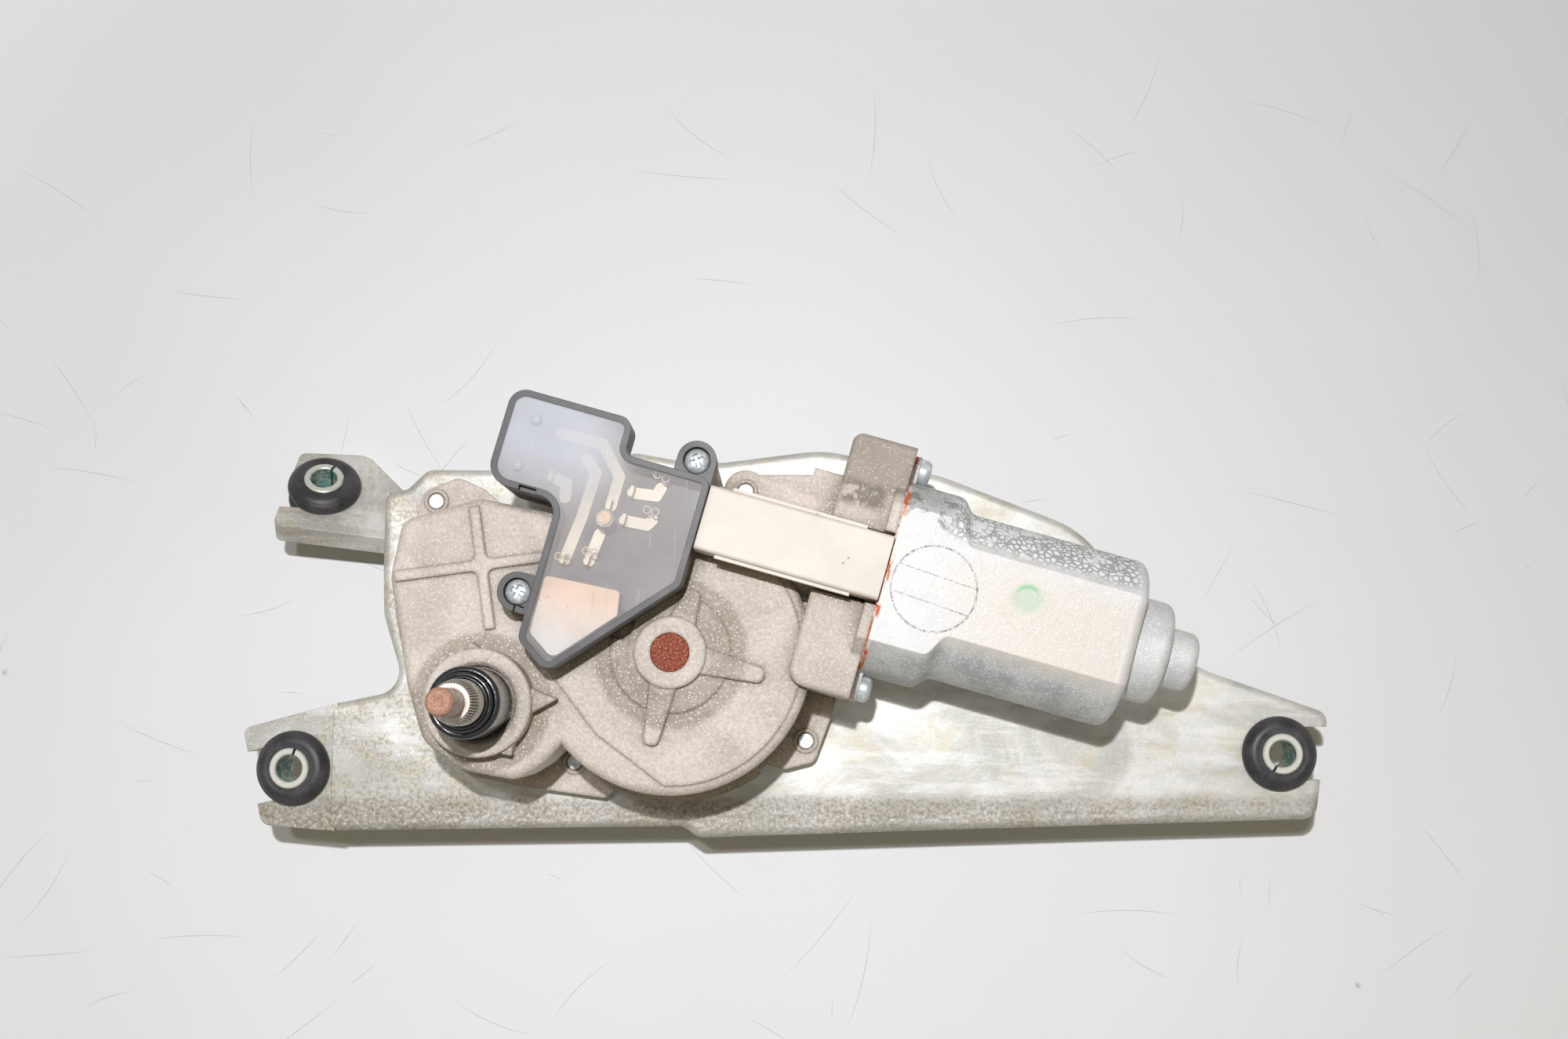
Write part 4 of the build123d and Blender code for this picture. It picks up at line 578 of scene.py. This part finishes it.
def piece(name, made, finish, body):
    """Object from a bmesh in millimetres, shaded smooth with its sharp edges kept."""
    mesh = bpy.data.meshes.new(name)
    bmesh.ops.transform(made, matrix=Matrix.Scale(MM, 4), verts=made.verts)
    bmesh.ops.recalc_face_normals(made, faces=made.faces)
    made.to_mesh(mesh)
    made.free()
    mesh.polygons.foreach_set("use_smooth", [True] * len(mesh.polygons))
    mesh.set_sharp_from_angle(angle=math.radians(40))
    mesh.materials.append(finish.material)
    thing = bpy.data.objects.new(name, mesh)
    bpy.context.scene.collection.objects.link(thing)
    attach(thing, body)
    return thing


def round_turn(steps):
    """Angles of that many even steps of a whole turn."""
    return [2 * math.pi * k / steps for k in range(steps)]


def bridge(made, rings, closed=False):
    """Adds the faces between rings of points, and the two ends, or joins the last ring to the first."""
    for low, high in zip(rings, rings[1:] + rings[:1] if closed else rings[1:]):
        for k in range(len(low)):
            after = (k + 1) % len(low)
            made.faces.new((low[k], low[after], high[after], high[k]))
    if not closed:
        made.faces.new(rings[0][::-1])
        made.faces.new(rings[-1])


def lathe(made, rows, steps, centre=(0.0, 0.0), shape=None, hollow=False):
    """Adds a turned solid. Its rows of radius and height go from its foot up, or right round the section of a
    hollow one, and shape may change a row's radius and height round the turn."""
    rings = []
    for row in rows:
        ring = []
        for angle in round_turn(steps):
            radius, height = shape(*row, angle) if shape else row
            x, y = centre[0] + radius * math.cos(angle), centre[1] + radius * math.sin(angle)
            ring.append(made.verts.new((x, y, height)))
        rings.append(ring)
    bridge(made, rings, hollow)


def wire_ring(made, x, y, z, radius, wire):
    """Adds a flat ring of round wire."""
    section = [(radius + wire * math.cos(a), z + wire * math.sin(a)) for a in round_turn(8)]
    lathe(made, section, 28, (x, y), hollow=True)


def share(value, start, stop):
    """How far the value has come from start to stop, from 0 to 1."""
    return min(1.0, max(0.0, (value - start) / (stop - start)))


SPINDLE_R = 5.0
CLIP_GROOVE = (-15.8, -14.7)  # foot and top
CLIP_GROOVE_R = 4.4
KNURL = (-6.5, -0.8)  # foot and top of the knurled cone
KNURL_RADII = (5.0, 4.4)
KNURL_RIDGES = 44
RIDGE_DEPTH = 0.55
THREAD_R = 3.0
THREAD_PITCH = 1.0
THREAD_DEPTH = 0.4


def wave(turns):
    """Triangle wave, 0 at whole turns and 1 half way between."""
    return 1 - abs(2 * (turns % 1.0) - 1)


def spindle():
    """Spindle with the clip's groove, the knurled cone and a rolled thread."""
    foot, top = foot_of("spindle"), top_of("spindle")
    knurl_foot, knurl_top = KNURL
    groove_foot, groove_top = CLIP_GROOVE
    wide, narrow = KNURL_RADII
    made = bmesh.new()
    rows = [(0.01, foot), (SPINDLE_R - 0.4, foot), (SPINDLE_R, foot + 0.4), (SPINDLE_R, groove_foot),
            (CLIP_GROOVE_R, groove_foot + 0.01), (CLIP_GROOVE_R, groove_top), (SPINDLE_R, groove_top + 0.01),
            (SPINDLE_R, knurl_foot - 0.7)]
    for k in range(7):
        rows.append((wide + (narrow - wide) * k / 6, knurl_foot + (knurl_top - knurl_foot) * k / 6))
    rows += [(narrow - 0.45, knurl_top + 0.25), (THREAD_R - 0.5, knurl_top + 0.26), (0.01, knurl_top + 0.27)]

    def ridged(radius, height, angle):
        if knurl_foot - 0.01 < height < knurl_top + 0.01:
            radius -= RIDGE_DEPTH * (1 - wave(KNURL_RIDGES * angle / (2 * math.pi)))
        return radius, height

    lathe(made, rows, KNURL_RIDGES * 6, shape=ridged)

    def threaded(radius, height, angle):
        """Cuts the thread, which runs out at both ends."""
        depth = THREAD_DEPTH * share(height, top - 0.5, top - 1.3) * share(height, knurl_top, knurl_top + 1.2)
        return radius - depth * wave(height / THREAD_PITCH - angle / (2 * math.pi)), height

    run = top - 0.8 - knurl_top
    rows = [(THREAD_R, knurl_top + run * k / 110) for k in range(111)]
    rows += [(2.7, top - 0.4), (2.3, top - 0.06), (2.0, top)]
    rows += [(0.9, top), (0.6, top - 0.25), (0.01, top - 0.3)]  # dimple in the end
    lathe(made, rows, 72, shape=threaded)
    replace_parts(piece("spindle_turned", made, spindle_steel(), "spindle"), "spindle")


CAP_R = 7.9
CAP_WALL_R = 6.9  # inside the cap's skirt
CAP_LIP_R = 5.03
CAP_CEILING = -14.5  # underside of its lip


def roll(radius, height, size, start, stop):
    """Arc of a section, from one angle in degrees to another."""
    turns = (math.radians(start + (stop - start) * k / 8) for k in range(9))
    return [(radius + size * math.cos(a), height + size * math.sin(a)) for a in turns]


def spindle_cap():
    """Rubber cap with a rolled shoulder and two ring ridges round the spindle."""
    foot, top = foot_of("nose_seal"), top_of("nose_seal")
    made = bmesh.new()
    rows = [(CAP_WALL_R, foot), (CAP_R, foot), (CAP_R, top - 3.4)]
    rows += roll(CAP_R - 0.9, top - 3.2, 0.9, 0, 110)
    rows += roll(6.25, top - 2.5, 0.3, 300, 180)
    rows += roll(6.0, top - 1.3, 0.55, -20, 100)
    rows += [(5.75, top - 1.15), (5.68, top - 0.9)]
    rows += roll(5.4, top - 0.32, 0.32, 0, 160)
    rows += [(CAP_LIP_R, top - 0.7), (CAP_LIP_R, CAP_CEILING), (CAP_WALL_R, CAP_CEILING - 0.1)]
    lathe(made, rows, 96, hollow=True)
    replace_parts(piece("spindle_cap", made, cap_rubber(), "housing"), "nose_seal")


CASE_SCREWS = (((32.7, 65.6), 0.35), ((2.3, 26.3), 1.1))  # place in the motor frame, recess's turn in radians
HEAD_R = 2.9
HEAD_HEIGHT = 2.4
RIM_R = 2.78  # edge of the crown
SHANK_R = 1.6
RECESS_DEPTH = 1.3
RECESS_REACH = 1.75  # half length of the cross
RECESS_HALF = 0.42  # half width of an arm at the middle
ARM_FLARE = 0.16  # what it gains for each millimetre outward


def cross_recess(turn):
    """Shape that sinks a turned cross into a screw's crown."""

    def sunk(radius, height, angle):
        x, y = abs(radius * math.cos(angle - turn)), abs(radius * math.sin(angle - turn))
        along, across = max(x, y), min(x, y)
        half = RECESS_HALF + ARM_FLARE * along
        depth = share(across, half, half - 0.22) * share(along, RECESS_REACH, RECESS_REACH - 0.4)
        return radius, height - RECESS_DEPTH * depth

    return sunk


def case_screws():
    """Pan heads with a flared cross recess, on plain shanks."""
    made = bmesh.new()
    foot, top = foot_of("switch_screws"), top_of("switch_screws")
    seat = top - HEAD_HEIGHT
    head = [(HEAD_R, seat), (HEAD_R, seat + 1.0), (RIM_R, seat + 1.4)]
    for k in range(1, 26):
        radius = RIM_R * (1 - k / 26)
        head.append((radius, top - (radius / HEAD_R) ** 3))
    shank = [(SHANK_R - 0.5, foot), (SHANK_R, foot + 0.6), (SHANK_R, seat + 0.1)]
    for place, turn in CASE_SCREWS:
        centre = from_motor(*place)
        lathe(made, shank, 32, centre)
        lathe(made, head, 96, centre, shape=cross_recess(turn))
    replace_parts(piece("case_screws", made, silver, "housing"), "switch_screws")


STAKED_ENDS = ((18.2, 32.8), (20.1, 32.4), (24.4, 34.0), (26.2, 33.6),
               (40.3, 51.3), (42.2, 50.4), (38.0, 43.3), (39.9, 42.8))
EYELET = (28.8, 41.0)


def staked_ends():
    """Little loops at the bars' ends, and the eyelet round the cover's post."""
    made = bmesh.new()
    for x, y in STAKED_ENDS:
        wire_ring(made, x, y, top_of("busbars") + 0.1, 0.8, 0.18)
    piece("staked_loops", made, brass, "housing")
    made = bmesh.new()
    wire_ring(made, *EYELET, top_of("switch_cover") - 1.55, 1.75, 0.3)
    piece("post_eyelet", made, silver, "housing")


PIPS = ((13.3, 63.2), (9.2, 52.9))
PIP_R = 1.3
PIP_HEIGHT = 0.45


def cover_pips():
    """Two moulding pips near the cover's connector end."""
    made = bmesh.new()
    foot = top_of("switch_cover") - 0.05
    turns = [math.radians(a) for a in (90, 75, 60, 45, 30, 15, 2)]
    dome = [(PIP_R * math.sin(a), foot + PIP_HEIGHT * math.cos(a)) for a in turns]
    for centre in PIPS:
        lathe(made, dome, 32, centre)
    piece("cover_pips", made, glass, "housing")


TAB_SCREWS = ((-29.6, 43.1), (43.1, 66.2), (73.9, 11.5), (21.4, -8.6))  # in the motor frame


def screw_collars():
    """Cast collars round the points of the screws in the four tabs."""
    made = bmesh.new()
    for place in TAB_SCREWS:
        wire_ring(made, *from_motor(*place), top_of("cover_screws") - 0.35, 2.55, 0.5)
    piece("screw_collars", made, casting, "housing")


PANEL_TOP = -36.0  # of the housing's panel under the switch case
CASE_FOOT = -33.7  # underside of the switch case
WEB_CORNERS = ((23.7, 22.5), (28.5, 22.5), (28.5, 27.8), (27.2, 26.5))  # in the motor frame
SKIRT_OUTSIDE = ((18.5, 22.0), (23.6, 22.0), (28.9, 28.0), (28.9, 29.5), (18.5, 29.5))
SKIRT_INSIDE = ((18.8, 22.3), (23.47, 22.3), (28.6, 28.11), (28.6, 29.2), (18.8, 29.2))


def outline(made, corners, height):
    """Ring of points at that height over corners in the motor frame."""
    return [made.verts.new((*from_motor(*corner), height)) for corner in corners]


def window_web():
    """Thin web of the casting that closes the corner of the finger window outside the switch case."""
    made = bmesh.new()
    top = PANEL_TOP - 0.02
    bridge(made, [outline(made, WEB_CORNERS, top - 1.0), outline(made, WEB_CORNERS, top)])
    piece("window_web", made, casting, "housing")


def shade_skirt():
    """Thin black rubber wall round the finger window, from the panel up to the switch case: a dark sheet
    standing in for the shade under the case.
    """
    made = bmesh.new()
    section = ((SKIRT_OUTSIDE, PANEL_TOP), (SKIRT_INSIDE, PANEL_TOP), (SKIRT_INSIDE, CASE_FOOT),
               (SKIRT_OUTSIDE, CASE_FOOT))
    bridge(made, [outline(made, *edge) for edge in section], closed=True)
    piece("shade_skirt", made, rubber, "housing")


spindle()
spindle_cap()
case_screws()
staked_ends()
cover_pips()
screw_collars()
window_web()
shade_skirt()


# ---------------------------------------------------------------- stage, light and camera

TABLE_MIDDLE = (0.07, 0.0)
FADE_CENTRE = (70.0, 0.0)  # of the ring where the table fades into the room, in millimetres from its middle
FADE_R, FADE_WIDTH = 370.0, 220.0
SCRATCH_COUNT = 150
SCRATCH_RUNS = 8  # straight runs of one scratch


def table():
    """White table, painted a little greyer toward +Y as a fall-off of the lamp light, with a few grey specks.
    Returns the height of its top.
    """
    bpy.ops.mesh.primitive_plane_add(size=3.0, location=(*TABLE_MIDDLE, cad_box[0][2] - 0.1 * MM))
    top = bpy.context.object
    top.name = "table"
    f = Finish("table", srgb(240, 240, 238), 0.55)
    # painted fall-off of the lamp light, greyer toward +Y, with random tone
    light_falloff_and_tone = (f.axis("Y").below(20.0, 320.0) * 0.8 + f.noise(70, detail=3) * 0.2).clamped()
    skin = f.blend(light_falloff_and_tone, srgb(226, 227, 229), srgb(255, 255, 255))
    specks = f.cells(34).below(0.025, 0.012) * f.noise(5).above(0.5, 0.2)
    skin = f.blend(specks * 0.5, skin, srgb(150, 150, 140))
    f.set("Base Color", skin)
    f.set("Alpha", f.radius(*FADE_CENTRE).below(FADE_R, FADE_WIDTH))
    top.data.materials.append(f.material)
    return top.location.z


def scratches(level):
    """Hair scratches in the table's top."""
    luck = random.Random(7)
    curve = bpy.data.curves.new("scratches", "CURVE")
    curve.dimensions = "3D"
    curve.bevel_depth = 0.07 * MM
    curve.bevel_resolution = 0
    for _ in range(SCRATCH_COUNT):
        x, y = luck.uniform(-0.14, 0.3), luck.uniform(-0.14, 0.16)
        turn, reach, bend = luck.uniform(0, math.pi), luck.uniform(0.004, 0.03), luck.uniform(-0.5, 0.5)
        line = curve.splines.new("POLY")
        line.points.add(SCRATCH_RUNS)
        for k, point in enumerate(line.points):
            point.co = (x, y, level, 1)
            point.radius = math.sin(math.pi * (k + 0.5) / (SCRATCH_RUNS + 1))
            x += reach / SCRATCH_RUNS * math.cos(turn)
            y += reach / SCRATCH_RUNS * math.sin(turn)
            turn += bend / SCRATCH_RUNS
    marks = bpy.data.objects.new("scratches", curve)
    marks.data.materials.append(Finish("scratch", srgb(206, 206, 200), 0.6).material)
    bpy.context.scene.collection.objects.link(marks)


LAMP_COLOUR = (0.98, 0.985, 1.03)


def lamp(name, place, aim, size, power):
    """Rectangular lamp of that size and power at one place, turned toward another."""
    data = bpy.data.lights.new(name, "AREA")
    data.shape = "RECTANGLE"
    data.size, data.size_y = size
    data.energy = power
    data.color = LAMP_COLOUR
    made = bpy.data.objects.new(name, data)
    made.location = place
    made.rotation_euler = (Vector(aim) - Vector(place)).to_track_quat("-Z", "Y").to_euler()
    bpy.context.scene.collection.objects.link(made)


FILL_LIGHT, MIRRORED_ROOM, SEEN_ROOM = 0.15, 0.64, 0.95
WHITE = (1.0, 1.0, 1.0, 1.0)
WARM = (1.0, 0.88, 0.55, 1.0)


def room():
    """White room: bright where it is seen, less so where it is mirrored, and a warm fill light elsewhere."""
    world = bpy.data.worlds.new("room")
    bpy.context.scene.world = world
    world.use_nodes = True
    tree = world.node_tree
    path = tree.nodes.new("ShaderNodeLightPath").outputs

    def mix(kind, factor, low, high):
        """Goes from low to high with the factor. Its sockets are 2 and 3 for numbers, 6 and 7 for colours."""
        made = tree.nodes.new("ShaderNodeMix")
        made.data_type = kind
        first = 6 if kind == "RGBA" else 2
        for k, value in ((0, factor), (first, low), (first + 1, high)):
            if isinstance(value, bpy.types.NodeSocket):
                tree.links.new(value, made.inputs[k])
            else:
                made.inputs[k].default_value = value
        return made.outputs[first // 3]

    seen = mix("FLOAT", path["Is Transmission Ray"], path["Is Camera Ray"], 1.0)
    strength = mix("FLOAT", path["Is Glossy Ray"], FILL_LIGHT, MIRRORED_ROOM)
    background = tree.nodes["Background"].inputs
    tree.links.new(mix("FLOAT", seen, strength, SEEN_ROOM), background["Strength"])
    white = mix("FLOAT", path["Is Glossy Ray"], seen, 1.0)
    tree.links.new(mix("RGBA", white, WARM, WHITE), background["Color"])


CAMERA_PLACE = (0.06895, -0.00147, 0.35)
CAMERA_TILT = 6.43  # degrees from straight down
LENS = 38.7  # focal length for SENSOR, in millimetres as that is
SENSOR = 36.0


def camera():
    data = bpy.data.cameras.new("camera")
    data.lens = LENS
    data.sensor_width = SENSOR
    made = bpy.data.objects.new("camera", data)
    made.location = CAMERA_PLACE
    made.rotation_euler = (math.radians(CAMERA_TILT), 0, 0)
    bpy.context.scene.collection.objects.link(made)
    bpy.context.scene.camera = made


scratches(table())
lamp("flash", place=(0.037, 0.118, 0.53), aim=(0.06, 0.0, -0.05), size=(0.016, 0.012), power=2.6)
lamp("ceiling", place=(-0.095, 0.234, 1.15), aim=(0.05, 0.02, -0.05), size=(0.06, 0.05), power=2.0)
room()
camera()
bpy.context.scene.view_settings.view_transform = "Standard"
